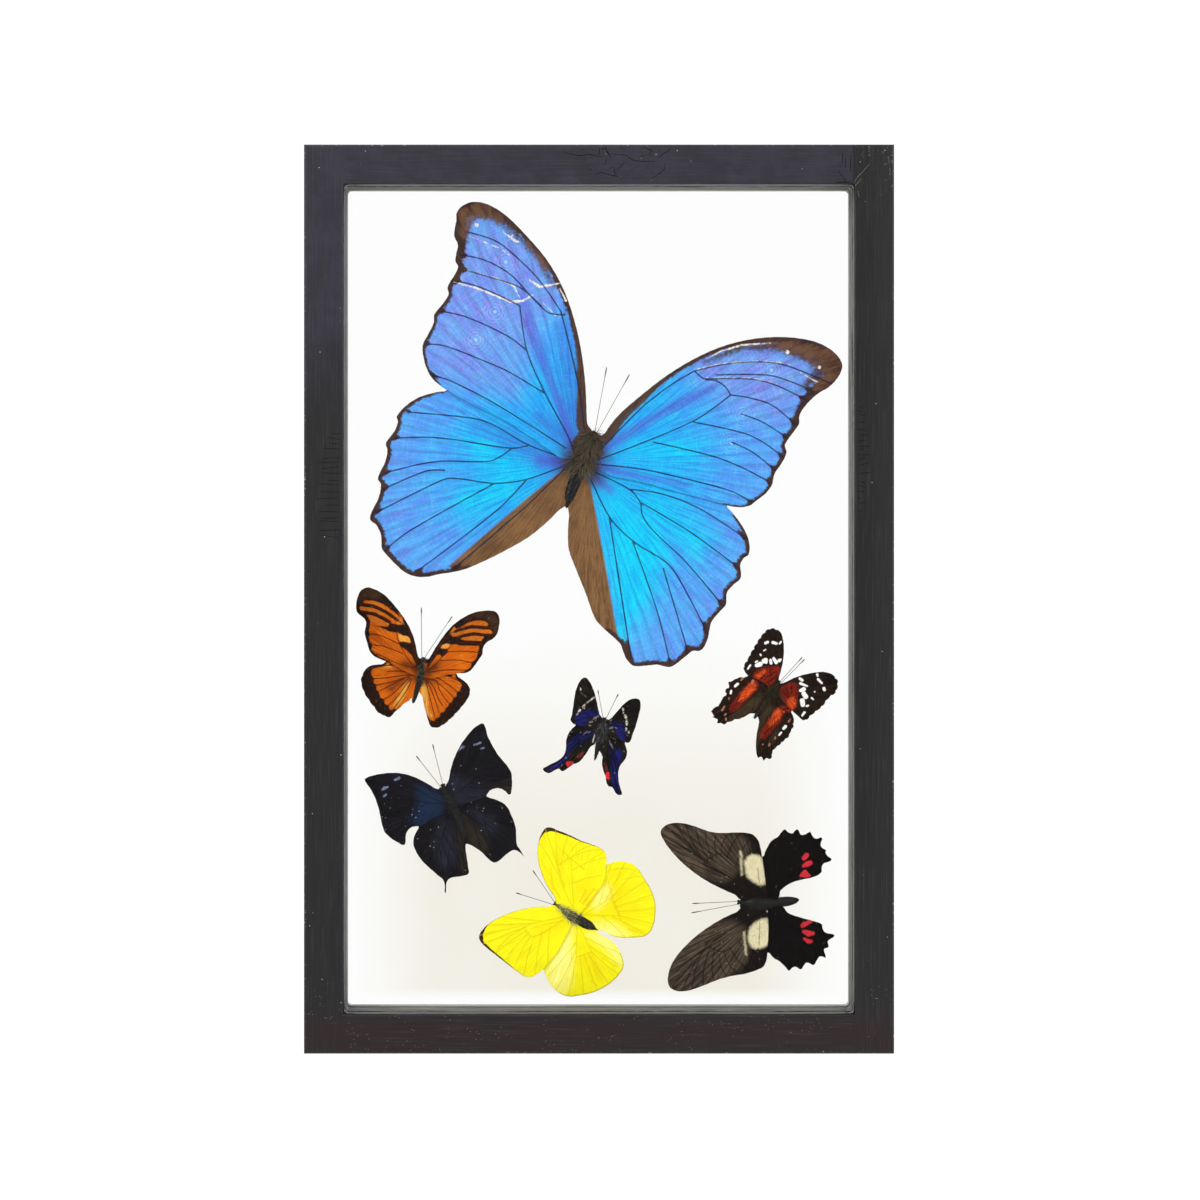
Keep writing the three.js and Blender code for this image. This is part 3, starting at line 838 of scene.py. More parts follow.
def fan(hinge: Point, cell: tuple[Point, Point], ends: str) -> list[Path]:
    """Return the veins of a wing: its cell, and one vein from the cell to each end on the margin.

    Args:
        hinge: Where the wing joins the body.
        cell: The two far corners of the cell.
        ends: The veins' ends, from the leading edge to the trailing edge, as `drawn` reads them.

    Returns:
        The veins.
    """
    upper, lower = np.array(cell[0], float), np.array(cell[1], float)
    root = np.array(hinge, float)
    ring = np.array([root + (upper - root) * 0.55, upper, (upper + lower) / 2, lower,
                     root + (lower - root) * 0.5])
    veins = [[hinge, cell[0], cell[1], hinge]]
    tips = drawn(ends)[0]
    for i, end in enumerate(tips):
        at = i / max(len(tips) - 1, 1) * (len(ring) - 1)
        low = min(int(at), len(ring) - 2)
        start = ring[low] + (ring[low + 1] - ring[low]) * (at - low)
        tip = np.array(end, float)
        bow = (start + tip) / 2 + (start - root) * 0.05
        veins.append([tuple(start), tuple(bow), tuple(tip)])
    return veins


@dataclass
class Wing:
    """One wing as a fine membrane with raised veins, cut to the outline of its plate in the frame."""

    node: str
    grid: Grid
    marks: WingMarks
    fields: tuple[str, ...]
    upper: bpy.types.Material
    under: bpy.types.Material
    seed: int
    rings: Path
    over: str = ""
    pitch: float = 0.35
    thickness: float = 0.09
    vein_height: float = 0.09
    vein_half: float = 0.16
    hollow: float = 0.10
    droop: float = 0.018
    fray: float = 0.05

    def build(self) -> bpy.types.Object:
        """Model the wing.

        Returns:
            The finished wing.
        """
        flat, middle = plate_outline(self.node)
        outline = self._tucked(self._edged(smooth_line(flat, self.pitch, True)))
        veins = drawn(self.marks.veins) if isinstance(self.marks.veins, str) else self.marks.veins
        veins = [smooth_line(self.grid.flat(path), self.pitch, False) for path in veins]
        veins = [line[is_inside(line, outline)] for line in veins]
        veins = [line for line in veins if len(line) > 1]
        points, faces = self._membrane(outline, veins)
        vein = self._vein_distance(points, veins)
        depth = self._relief(points, vein)
        wing = self._mesh(points, faces, middle - depth)
        way = points - self.grid.flat([self.marks.hinge])
        keep(wing.data, "vein", vein)
        keep(wing.data, "reach", np.linalg.norm(way, axis=1))
        keep(wing.data, "ray", self._ray(way))
        for name in self.fields:
            keep(wing.data, name, self._field(name, points, outline))
        self._thicken(wing)
        return wing

    def _edged(self, outline: np.ndarray) -> np.ndarray:
        """Fray the edge faintly and cut its teeth in.

        Args:
            outline: The outline.

        Returns:
            The new outline.
        """
        ahead = np.roll(outline, -1, axis=0)
        turn = np.sign((outline[:, 0] * ahead[:, 1] - ahead[:, 0] * outline[:, 1]).sum())
        inward = sideways(ahead - np.roll(outline, 1, axis=0)) * turn
        run = np.arange(len(outline)) * self.pitch
        cut = sum(self.fray * share * (1 + np.sin(rate * run + rate * self.seed))
                  for share, rate in ((0.5, 1.9), (0.4, 4.3), (0.3, 9.1)))
        for first, last, count, depth in self.marks.teeth:
            stretch = self._stretch(*self.grid.flat([first, last]), outline)
            notch = (1 - np.abs(np.sin(np.pi * count * np.arange(len(stretch)) / len(stretch)))) ** 1.6
            cut[stretch] += depth * notch
        return outline + inward * cut[:, None]

    def _stretch(self, first: np.ndarray, last: np.ndarray, outline: np.ndarray) -> list[int]:
        """Find the shorter stretch of outline between two places.

        Args:
            first: Where it begins.
            last: Where it ends.
            outline: The outline.

        Returns:
            The indices of its points.
        """
        i, j = (int(np.linalg.norm(outline - mark, axis=1).argmin()) for mark in (first, last))
        total = len(outline)
        ahead = (j - i) % total
        step, count = (1, ahead) if ahead <= total - ahead else (-1, total - ahead)
        return [(i + step * k) % total for k in range(count)]

    def _tucked(self, outline: np.ndarray) -> np.ndarray:
        """Draw the outline in beneath the body, and beneath the forewing for a hindwing.

        Args:
            outline: The outline.

        Returns:
            The new outline.
        """
        half = np.array([ring[2] for ring in self.rings]) * self.grid.unit
        reach = 0.6 * half.max() + 0.8 + self.marks.tuck
        distance, place, radius = nearest_on(outline, self.grid.flat(self.rings), half)
        outline = self._pulled(outline, place, distance, distance + 0.3 + 0.3 * radius, reach)
        if self.over:
            loop = smooth_line(plate_outline(self.over)[0], self.pitch, True)
            shut = np.vstack([loop, loop[:1]])
            distance, place, _ = nearest_on(outline, shut, np.zeros(len(shut)))
            outside = ~is_inside(outline, loop)
            move = np.where(outside, distance + 0.7, 0.0)
            far = np.linalg.norm(outline - self.grid.centre, axis=1) / (0.35 * self.grid.wingspan)
            outline = self._pulled(outline, place, distance, move, 2.0 * np.clip(1.35 - far, 0.3, 1))
        return outline

    def _pulled(self, outline: np.ndarray, place: np.ndarray, distance: np.ndarray, move: np.ndarray,
                reach: float | np.ndarray) -> np.ndarray:
        """Move each point of the outline towards a place.

        Args:
            outline: The outline.
            place: Where each point is drawn to.
            distance: How far off that is.
            move: How far a point close by moves.
            reach: How far off nothing moves any more.

        Returns:
            The new outline.
        """
        pull = np.clip(1.6 * (reach - distance) / reach, 0, 1)
        pull = pull * pull * (3 - 2 * pull)
        return outline + unit_rows(place - outline) * (np.maximum(move, 0) * pull)[:, None]

    def _membrane(self, outline: np.ndarray, veins: list[np.ndarray]) -> tuple[np.ndarray, list]:
        """Fill the outline, with rows of points along each vein and even triangles between them.

        Args:
            outline: The outline.
            veins: The lines of its veins.

        Returns:
            The points and the triangles.
        """
        fixed = [outline]
        for line in veins:
            side = sideways(np.gradient(line, axis=0)) * self.vein_half
            fixed += [line, line + side, line - side]
        fixed = np.concatenate(fixed)
        low, high = outline.min(0), outline.max(0)
        loose = []
        for i, z in enumerate(np.arange(low[1], high[1], self.pitch * 0.866)):
            row = np.arange(low[0] + (i % 2) * self.pitch / 2, high[0], self.pitch)
            loose.append(np.stack([row, np.full(len(row), z)], 1))
        loose = np.concatenate(loose)
        loose = loose[is_inside(loose, outline)]
        free = np.ones(len(loose), bool)
        for start in range(0, len(fixed), 400):
            chunk = fixed[start:start + 400]
            near = np.linalg.norm(loose[:, None] - chunk[None], axis=2).min(1)
            free &= near > self.pitch * 0.55
        inner = fixed[len(outline):]
        edge = chain_distance(inner, np.vstack([outline, outline[:1]]), np.zeros(len(outline) + 1))
        keep = is_inside(inner, outline) & (edge > self.pitch * 0.3)
        every = np.concatenate([outline, inner[keep], loose[free]])
        ring = list(range(len(outline)))
        made = delaunay_2d_cdt([Vector(p) for p in every], [], [ring], 1, 0.004)
        return np.array([tuple(v) for v in made[0]]), [list(f) for f in made[2]]

    def _vein_distance(self, points: np.ndarray, veins: list[np.ndarray]) -> np.ndarray:
        """Measure how far each point is from the nearest vein.

        Args:
            points: The points.
            veins: The lines of the veins.

        Returns:
            The distances.
        """
        best = np.full(len(points), FAR)
        for line in veins:
            best = np.minimum(best, chain_distance(points, line, np.zeros(len(line))))
        return best

    def _relief(self, points: np.ndarray, vein: np.ndarray) -> np.ndarray:
        """Return how far each point stands towards the front pane.

        The wing rises from the body and droops to its tip, each panel is hollow between its veins, the
        veins are raised, and the whole has a faint wave.

        Args:
            points: The points.
            vein: How far each is from the nearest vein.

        Returns:
            The heights.
        """
        reach = np.linalg.norm(points - self.grid.centre, axis=1)
        span = self.grid.wingspan / 2
        camber = self.droop * span * (np.sin(np.pi * np.minimum(reach / span, 1.2) * 0.8) - 0.4)
        panel = -self.hollow * (1 - np.exp(-(vein / 1.1) ** 2))
        ridge = self.vein_height * np.exp(-(vein / self.vein_half) ** 2)
        x, z = points[:, 0], points[:, 1]
        wave = 0.05 * np.sin(0.9 * x + 0.5 * z + self.seed)
        wave += 0.04 * np.sin(0.4 * x - 1.1 * z + 2 * self.seed)
        return camber + panel + ridge + wave

    def _ray(self, way: np.ndarray) -> np.ndarray:
        """Work out each point's angle about the hinge, from the middle of the wing.

        Args:
            way: The way from the hinge to each point.

        Returns:
            The angles.
        """
        middle = way.mean(0)
        angle = np.arctan2(way[:, 1], way[:, 0]) - np.arctan2(middle[1], middle[0])
        return (angle + np.pi) % (2 * np.pi) - np.pi

    def _field(self, name: str, points: np.ndarray, outline: np.ndarray) -> np.ndarray:
        """Measure the distance to everything filed under one name.

        Args:
            name: The name.
            points: The points.
            outline: The wing's outline.

        Returns:
            The distances, negative inside.
        """
        best = np.full(len(points), FAR)
        kinds = (self.marks.strokes, self.marks.borders, self.marks.patches)
        strokes, borders, patches = (drawn(kind[name]) if name in kind else [] for kind in kinds)
        for path in strokes:
            radii = np.array([p[2] if len(p) > 2 else 0.0 for p in path]) * self.grid.unit
            best = np.minimum(best, chain_distance(points, self.grid.flat(path), radii))
        for path in borders:
            along, widths = self._border(path, outline)
            best = np.minimum(best, chain_distance(points, along, widths))
        for path in patches:
            loop = smooth_line(self.grid.flat(path), 1.0, True)
            shut = np.vstack([loop, loop[:1]])
            distance = chain_distance(points, shut, np.zeros(len(shut)))
            best = np.minimum(best, np.where(is_inside(points, loop), -distance, distance))
        return best

    def _border(self, path: Path, outline: np.ndarray) -> tuple[np.ndarray, np.ndarray]:
        """Follow the wing's edge past the points of a border.

        Args:
            path: The points, each with the border's width.
            outline: The wing's outline.

        Returns:
            The stretch of outline, and the width at each of its points.
        """
        marks = self.grid.flat(path)
        along, widths = [], []
        for first, last, a, b in zip(marks[:-1], marks[1:], path[:-1], path[1:]):
            stretch = self._stretch(first, last, outline)
            for k in range(0, len(stretch), 2):
                along.append(outline[stretch[k]])
                widths.append((a[2] + (b[2] - a[2]) * k / len(stretch)) * self.grid.unit)
        along.append(outline[np.linalg.norm(outline - marks[-1], axis=1).argmin()])
        widths.append(path[-1][2] * self.grid.unit)
        return np.array(along), np.array(widths)

    def _mesh(self, points: np.ndarray, faces: list, depth: np.ndarray) -> bpy.types.Object:
        """Make the membrane's mesh, facing the front pane.

        Args:
            points: The x and z of its points.
            faces: Its triangles.
            depth: The y of its points.

        Returns:
            The membrane.
        """
        wing = meshed(self.node + "_membrane", _deep(points, depth), faces)
        if wing.data.polygons[0].normal.y > 0:
            wing.data.flip_normals()
        return wing

    def _thicken(self, wing: bpy.types.Object) -> None:
        """Give the membrane its thickness, its upper and under scales and a smooth shade.

        Args:
            wing: The membrane.
        """
        wing.data.materials.append(self.upper)
        wing.data.materials.append(self.under)
        alone(wing)
        shaped(wing, "thickness", "SOLIDIFY", thickness=self.thickness * MM, offset=0.0,
               material_offset=1, use_rim=True)
        bpy.ops.object.shade_smooth()


def unit_rows(ways: np.ndarray) -> np.ndarray:
    """Return each row with the length of one."""
    return ways / np.maximum(np.linalg.norm(ways, axis=1), 1e-9)[:, None]


def sideways(ways: np.ndarray) -> np.ndarray:
    """Return the direction to the left of each of these ways."""
    way = unit_rows(ways)
    return np.stack([-way[:, 1], way[:, 0]], 1)


def placed(name: str, data: bpy.types.ID) -> bpy.types.Object:
    """Put a new object into the scene.

    Args:
        name: Its name.
        data: What it holds.

    Returns:
        The object.
    """
    made = bpy.data.objects.new(name, data)
    bpy.context.scene.collection.objects.link(made)
    return made


def meshed(name: str, places: np.ndarray, faces: list) -> bpy.types.Object:
    """Put a new mesh into the scene.

    Args:
        name: Its name.
        places: The x, y and z of its points, in millimetres.
        faces: Its faces, by their points' numbers.

    Returns:
        The object.
    """
    mesh = bpy.data.meshes.new(name)
    mesh.from_pydata((places * MM).tolist(), [], faces)
    return placed(name, mesh)


def keep(mesh: bpy.types.Mesh, name: str, values: np.ndarray) -> None:
    """Keep one number at each point of a mesh."""
    mesh.attributes.new(name, "FLOAT", "POINT").data.foreach_set("value", values.astype(np.float32))


def alone(*pieces: bpy.types.Object) -> None:
    """Make these the only pieces selected, and the first of them the active one.

    Args:
        pieces: The pieces.
    """
    bpy.ops.object.select_all(action="DESELECT")
    for piece in pieces:
        piece.select_set(True)
    bpy.context.view_layer.objects.active = pieces[0]


def shaped(piece: bpy.types.Object, name: str, kind: str, **settings: object) -> None:
    """Apply a modifier to the active piece.

    Args:
        piece: The piece.
        name: The modifier's name.
        kind: Its type.
        settings: Its settings.
    """
    step = piece.modifiers.new(name, kind)
    for key, value in settings.items():
        setattr(step, key, value)
    bpy.ops.object.modifier_apply(modifier=name)


def dressed(piece: bpy.types.Object, material: bpy.types.Material) -> None:
    """Give a piece one material and no other."""
    piece.data.materials.clear()
    piece.data.materials.append(material)


def swept(name: str, lines: list[tuple[np.ndarray, np.ndarray]]) -> bpy.types.Object:
    """Sweep round rods along open lines.

    Args:
        name: The name of the rods.
        lines: For each, the x, y and z of its points in millimetres, and the half widths there.

    Returns:
        The rods as one mesh, which is the active object.
    """
    data = bpy.data.curves.new(name, "CURVE")
    data.dimensions = "3D"
    data.bevel_depth = MM
    data.bevel_resolution = 2
    data.use_fill_caps = True
    for places, half in lines:
        spline = data.splines.new("POLY")
        spline.points.add(len(places) - 1)
        for point, place, radius in zip(spline.points, places * MM, half):
            point.co = (*place, 1)
            point.radius = radius
    alone(placed(name, data))
    bpy.ops.object.convert(target="MESH")
    return bpy.context.active_object


# ---- Bodies --------------------------------------------------------------------------------


@dataclass
class Body:
    """Head, eyes, palps, thorax, ringed abdomen, antennae and folded legs of one butterfly."""

    name: str
    grid: Grid
    rings: Path
    antennae: list[Path]
    skin: Cuticle
    fur: Fur
    hairs: int
    hair_length: float
    axis_y: float
    seed: int
    hair_half: float = 0.045
    flat: float = 0.85
    sides: int = 28
    stations: int = 72
    joints: int = 14

    def build(self) -> list[bpy.types.Object]:
        """Model the body.

        Returns:
            The body and its fur.
        """
        spine, radii = self._spine()
        skin = self.skin.material()
        parts = [self._trunk(spine, radii), *self._eyes(), self._limbs(spine)]
        for part in parts:
            dressed(part, skin)
        alone(*parts)
        bpy.ops.object.join()
        body = bpy.context.active_object
        body.name = body.data.name = self.name + "_trunk"
        return [body, self._fur(spine, radii)]

    def _spine(self) -> tuple[np.ndarray, np.ndarray]:
        """Lay rings along the body from nose to tail.

        Returns:
            Their x and z, and their half widths, in millimetres.
        """
        ends = self.grid.flat(self.rings)
        half = np.array([ring[2] for ring in self.rings]) * self.grid.unit
        run = np.concatenate([[0], np.cumsum(np.linalg.norm(np.diff(ends, axis=0), axis=1))])
        at = np.linspace(0, 1, self.stations + 1)
        # Closer places at both ends keep the nose and the tail round.
        at = (at - np.sin(2 * np.pi * at) / (2 * np.pi) * 0.6) * run[-1]
        spine = np.stack([np.interp(at, run, ends[:, k]) for k in (0, 1)], 1)
        radii = np.interp(at, run, half)
        kernel = np.array([1, 2, 3, 2, 1]) / 9
        inner = np.convolve(np.pad(radii, 2, mode="edge"), kernel, "valid")
        inner[[0, -1]] = 0.0
        return spine, self._ringed(at / run[-1], inner)

    def _ringed(self, share: np.ndarray, radii: np.ndarray) -> np.ndarray:
        """Cut the rings of the abdomen in.

        Args:
            share: How far along the body each place is, from 0 to 1.
            radii: The half widths there.

        Returns:
            The new half widths.
        """
        abdomen = np.clip((share - 0.52) * 6, 0, 1)
        wave = np.abs(np.sin(np.pi * (share - 0.5) * 17)) ** 0.5
        return radii * (1 - 0.13 * abdomen * (1 - wave))

    def _trunk(self, spine: np.ndarray, radii: np.ndarray) -> bpy.types.Object:
        """Draw a sphere out along the body, ring by ring.

        Args:
            spine: The places of the rings.
            radii: Their half widths.

        Returns:
            The trunk.
        """
        bpy.ops.object.select_all(action="DESELECT")
        bpy.ops.mesh.primitive_uv_sphere_add(segments=self.sides, ring_count=self.stations, radius=1.0)
        trunk = bpy.context.active_object
        side = sideways(np.gradient(spine, axis=0))
        for vertex in trunk.data.vertices:
            x, y, z = vertex.co
            ring = round(math.acos(max(-1.0, min(1.0, z))) / math.pi * self.stations)
            size = math.hypot(x, y)
            u, v = (x / size, y / size) if size > 1e-6 else (0.0, 0.0)
            centre = spine[ring] + side[ring] * (u * radii[ring])
            depth = self.axis_y + v * radii[ring] * self.flat
            vertex.co = (centre[0] * MM, depth * MM, centre[1] * MM)
        alone(trunk)
        bpy.ops.object.mode_set(mode="EDIT")
        bpy.ops.mesh.select_all(action="SELECT")
        bpy.ops.mesh.normals_make_consistent(inside=False)
        bpy.ops.object.mode_set(mode="OBJECT")
        bpy.ops.object.shade_smooth()
        return trunk

    def _eyes(self) -> list[bpy.types.Object]:
        """Set the two compound eyes and the two palps into the head.

        Returns:
            The four balls.
        """
        head, ahead = self.grid.flat([self.rings[2], self.rings[1]])
        half = self.rings[2][2] * self.grid.unit
        way = (ahead - head) / max(np.linalg.norm(ahead - head), 1e-9)
        side = np.array([-way[1], way[0]])
        made = []
        # How far out and how far ahead an eye and a palp are, and how big, in half widths of the head.
        eye, palp = (0.78, 0.15, 0.5), (0.28, 1.0, 0.3)
        for sign in (-1, 1):
            for out, on, size in (eye, palp):
                at = head + side * sign * out * half + way * on * half
                bpy.ops.object.select_all(action="DESELECT")
                bpy.ops.mesh.primitive_ico_sphere_add(subdivisions=3, radius=size * half * MM,
                                                      location=(at[0] * MM, self.axis_y * MM, at[1] * MM))
                ball = bpy.context.active_object
                bpy.ops.object.transform_apply(location=True, rotation=True, scale=True)
                bpy.ops.object.shade_smooth()
                made.append(ball)
        return made

    def _limbs(self, spine: np.ndarray) -> bpy.types.Object:
        """Sweep the clubbed antennae and the folded legs.

        Args:
            spine: The places along the body.

        Returns:
            The limbs.
        """
        lines = []
        head = self.grid.flat([self.rings[2]])[0]
        for ends in self.antennae:
            start, end = self.grid.flat(ends)
            along = start + (end - start) * np.linspace(0, 1, self.joints)[:, None]
            share = np.linspace(0, 1, self.joints + 1)
            depth = self.axis_y - 0.8 * share
            club = np.exp(-((share - 0.95) / 0.07) ** 2)
            lines.append((_deep(np.vstack([head, along]), depth), 0.085 + 0.12 * club))
        return swept(self.name + "_limbs", lines + self._legs(spine))

    def _legs(self, spine: np.ndarray) -> list[tuple[np.ndarray, np.ndarray]]:
        """Fold three pairs of thin legs back along the underside of the thorax.

        Args:
            spine: The places along the body.

        Returns:
            Each leg's places and half widths.
        """
        lines = []
        side = sideways(np.gradient(spine, axis=0))
        widest = max(ring[2] for ring in self.rings) * self.grid.unit
        # The rings of the body beside which each pair starts, bends and ends.
        stances = ((16, 20, 34), (22, 25, 42), (28, 32, 50))
        for pair, (start, knee, foot) in enumerate(stances):
            for sign in (-1, 1):
                line = np.array([
                    spine[start] + side[start] * sign * 0.25 * widest,
                    spine[knee] + side[knee] * sign * (0.95 + 0.1 * pair) * widest,
                    spine[foot] + side[foot] * sign * 0.35 * widest,
                ])
                depth = self.axis_y + self.flat * widest * np.array([0.75, 0.95, 1.0])
                lines.append((_deep(line, depth), np.array([0.12, 0.1, 0.05])))
        return lines

    def _fur(self, spine: np.ndarray, radii: np.ndarray) -> bpy.types.Object:
        """Grow the hair of head and thorax: fine tapering spikes that lean to the tail.

        Args:
            spine: The places along the body.
            radii: The half widths there.

        Returns:
            The hair as one mesh.
        """
        chance = np.random.default_rng(self.seed)
        count = self.hairs
        # Most of the hair grows on the head and thorax, and a little of it anywhere.
        share = np.where(chance.random(count) < 0.92, chance.beta(1.5, 1.5, count) * 0.5 + 0.05,
                         chance.random(count) * 0.9 + 0.05)
        ring = np.clip((share * self.stations).astype(int), 1, self.stations - 2)
        turn = chance.random(count) * 2 * np.pi
        side = sideways(np.gradient(spine, axis=0))
        along = np.stack([side[:, 1], -side[:, 0]], 1)
        width = radii[ring]
        out = _deep(side[ring] * np.cos(turn)[:, None], np.sin(turn))
        back = _deep(along[ring], np.zeros(count))
        root = _deep(spine[ring], np.full(count, self.axis_y))
        root = root + out * (width * 0.93)[:, None] * (1, self.flat, 1)
        stray = chance.normal(0, 0.42, (count, 3))
        way = out * (0.85, 0.35, 0.85) + back * 0.4 + stray
        way /= np.linalg.norm(way, axis=1)[:, None]
        length = self.hair_length * (0.4 + chance.random(count)) * np.where(share > 0.56, 0.3, 1.0)
        across = np.cross(way, chance.normal(size=(count, 3)))
        across /= np.linalg.norm(across, axis=1)[:, None]
        other = np.cross(way, across)
        thick = self.hair_half * (0.7 + 0.6 * chance.random(count))
        levels = []
        # Each hair has a triangle at its root, another half way up, and a point.
        for rise, taper, sag in ((0.0, 1.0, 0.0), (0.5, 0.8, 0.1)):
            centre = root + way * (length * rise)[:, None] + back * (length * sag)[:, None]
            for k in range(3):
                angle = 2 * np.pi * k / 3
                rim = across * math.cos(angle) + other * math.sin(angle)
                levels.append(centre + rim * (thick * taper)[:, None])
        levels.append(root + way * length[:, None] + back * (length * 0.3)[:, None])
        shape = [(2, 1, 0), (0, 1, 4, 3), (1, 2, 5, 4), (2, 0, 3, 5), (3, 4, 6), (4, 5, 6), (5, 3, 6)]
        faces = [tuple(7 * i + k for k in face) for i in range(count) for face in shape]
        coat = meshed(self.name + "_fur", np.stack(levels, 1).reshape(-1, 3), faces)
        keep(coat.data, "tone", np.repeat(chance.random(count) ** 1.3, 7))
        dressed(coat, self.fur.material())
        return coat


def _deep(flat: np.ndarray, depth: np.ndarray) -> np.ndarray:
    """Return places of x and z with a y put between them."""
    return np.stack([flat[:, 0], depth, flat[:, 1]], 1)


# ---- Butterflies ---------------------------------------------------------------------------


@dataclass
class Butterfly:
    """One spread butterfly: four wings, a body with its fur, and the glue that holds it.

    `rings` are half widths along the body from nose to tail, written as `drawn` reads them, and so are
    the `antennae`. `wings` are the left and right hindwing, then the left and right forewing.
    """

    name: str
    grid: Grid
    rings: str
    antennae: str
    wings: tuple[WingMarks, WingMarks, WingMarks, WingMarks]
    fore_scales: WingScales
    under_scales: WingScales
    skin: Cuticle
    fur: Fur
    hind_scales: WingScales | None = None
    hairs: int = 900
    hair_length: float = 0.9
    pitch: float = 0.32
    vein_height: float = 0.07
    seed: int = 1

    def build(self) -> None:
        """Model the butterfly and hand each piece to the frame."""
        upper = {"forewing": self.fore_scales.material()}
        hind = self.hind_scales or self.fore_scales
        upper["hindwing"] = hind.material() if self.hind_scales else upper["forewing"]
        under = self.under_scales.material()
        rings = drawn(self.rings)[0]
        scales = {"forewing": self.fore_scales, "hindwing": hind}
        parts = ("hindwing_left", "hindwing_right", "forewing_left", "forewing_right")
        for turn, (part, marks) in enumerate(zip(parts, self.wings)):
            kind = part.split("_")[0]
            node = f"{self.name}_{part}"
            names = {layer.field for layer in (*scales[kind].layers, *self.under_scales.layers)}
            over = node.replace("hindwing", "forewing") if kind == "hindwing" else ""
            fields = tuple(sorted(names - {"reach", "ray", "vein"}))
            wing = Wing(node, self.grid, marks, fields, upper[kind], under, self.seed + turn, rings,
                        over, self.pitch, vein_height=self.vein_height).build()
            settle(wing, f"{self.name}_wing", node)
        body_node = f"{self.name}_body"
        low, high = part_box(f"{self.name}_glue")
        thorax = max(ring[2] for ring in rings) * self.grid.unit * Body.flat
        clearance = 0.3
        axis_y = low.y / MM - clearance - thorax
        body = Body(self.name, self.grid, rings, drawn(self.antennae), self.skin, self.fur, self.hairs,
                    self.hair_length, axis_y, self.seed)
        trunk, coat = body.build()
        settle(trunk, "insect_body", body_node)
        settle(coat, "insect_body")
        self._glue(low, high)

    def _glue(self, low: Vector, high: Vector) -> None:
        """Model the glue as a slumped drop between the thorax and the rear pane.

        Args:
            low: The lower corner of its box.
            high: The upper corner.
        """
        centre = (low + high) / 2
        bpy.ops.object.select_all(action="DESELECT")
        bpy.ops.mesh.primitive_uv_sphere_add(segments=28, ring_count=16, radius=1.0, location=(0, 0, 0))
        drop = bpy.context.active_object
        size = (high - low) / 2
        for vertex in drop.data.vertices:
            x, y, z = vertex.co
            flare = 0.8 + 0.2 * y
            lump = 1 + 0.05 * math.sin(5 * math.atan2(z, x) + self.seed)
            flat = max(-0.9, min(0.98, y * 1.25))
            vertex.co = (centre.x + x * flare * lump * size.x, centre.y + flat * size.y,
                         centre.z + z * flare * lump * size.z)
        drop.name = drop.data.name = f"{self.name}_glue_drop"
        bpy.ops.object.shade_smooth()
        dressed(drop, DriedGlue().material())
        settle(drop, "glue", f"{self.name}_glue")


def settle(piece: bpy.types.Object, slot: str, *nodes: str) -> None:
    """Hand a finished piece to the frame.

    Args:
        piece: The piece, in its place.
        slot: The material slot that it takes its finish from, which is not used.
        nodes: The nodes that it stands for.
    """
    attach(piece, ROOT)
    if nodes:
        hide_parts(*nodes)
    log.info("%s: %d faces", piece.name, len(piece.data.polygons))


# ---- The seven kinds -----------------------------------------------------------------------

MORPHO_GRID = Grid((583, 467), (-5.6, 45.1), 137.4, ((473, 204), (843, 370)))
ORANGE_GRID = Grid((717, 893), (-60, -24.4), 49, ((122, 215), (1440, 430)))
METALMARK_GRID = Grid((790, 715), (1.2, -44.5), 21.7, ((570, 165), (1208, 430)))
PEACOCK_GRID = Grid((730, 750), (59.4, -31), 28.3, ((740, 150), (1362, 680)))
LEAFWING_GRID = Grid((800, 740), (-50.1, -69.4), 44.3, ((90, 548), (1060, 80)))
SULPHUR_GRID = Grid((780, 785), (-10.2, -106.9), 43.8, ((80, 955), (625, 103)))
SWALLOWTAIL_GRID = Grid((870, 757), (53.9, -103.2), 49.1, ((90, 175), (148, 1338)))


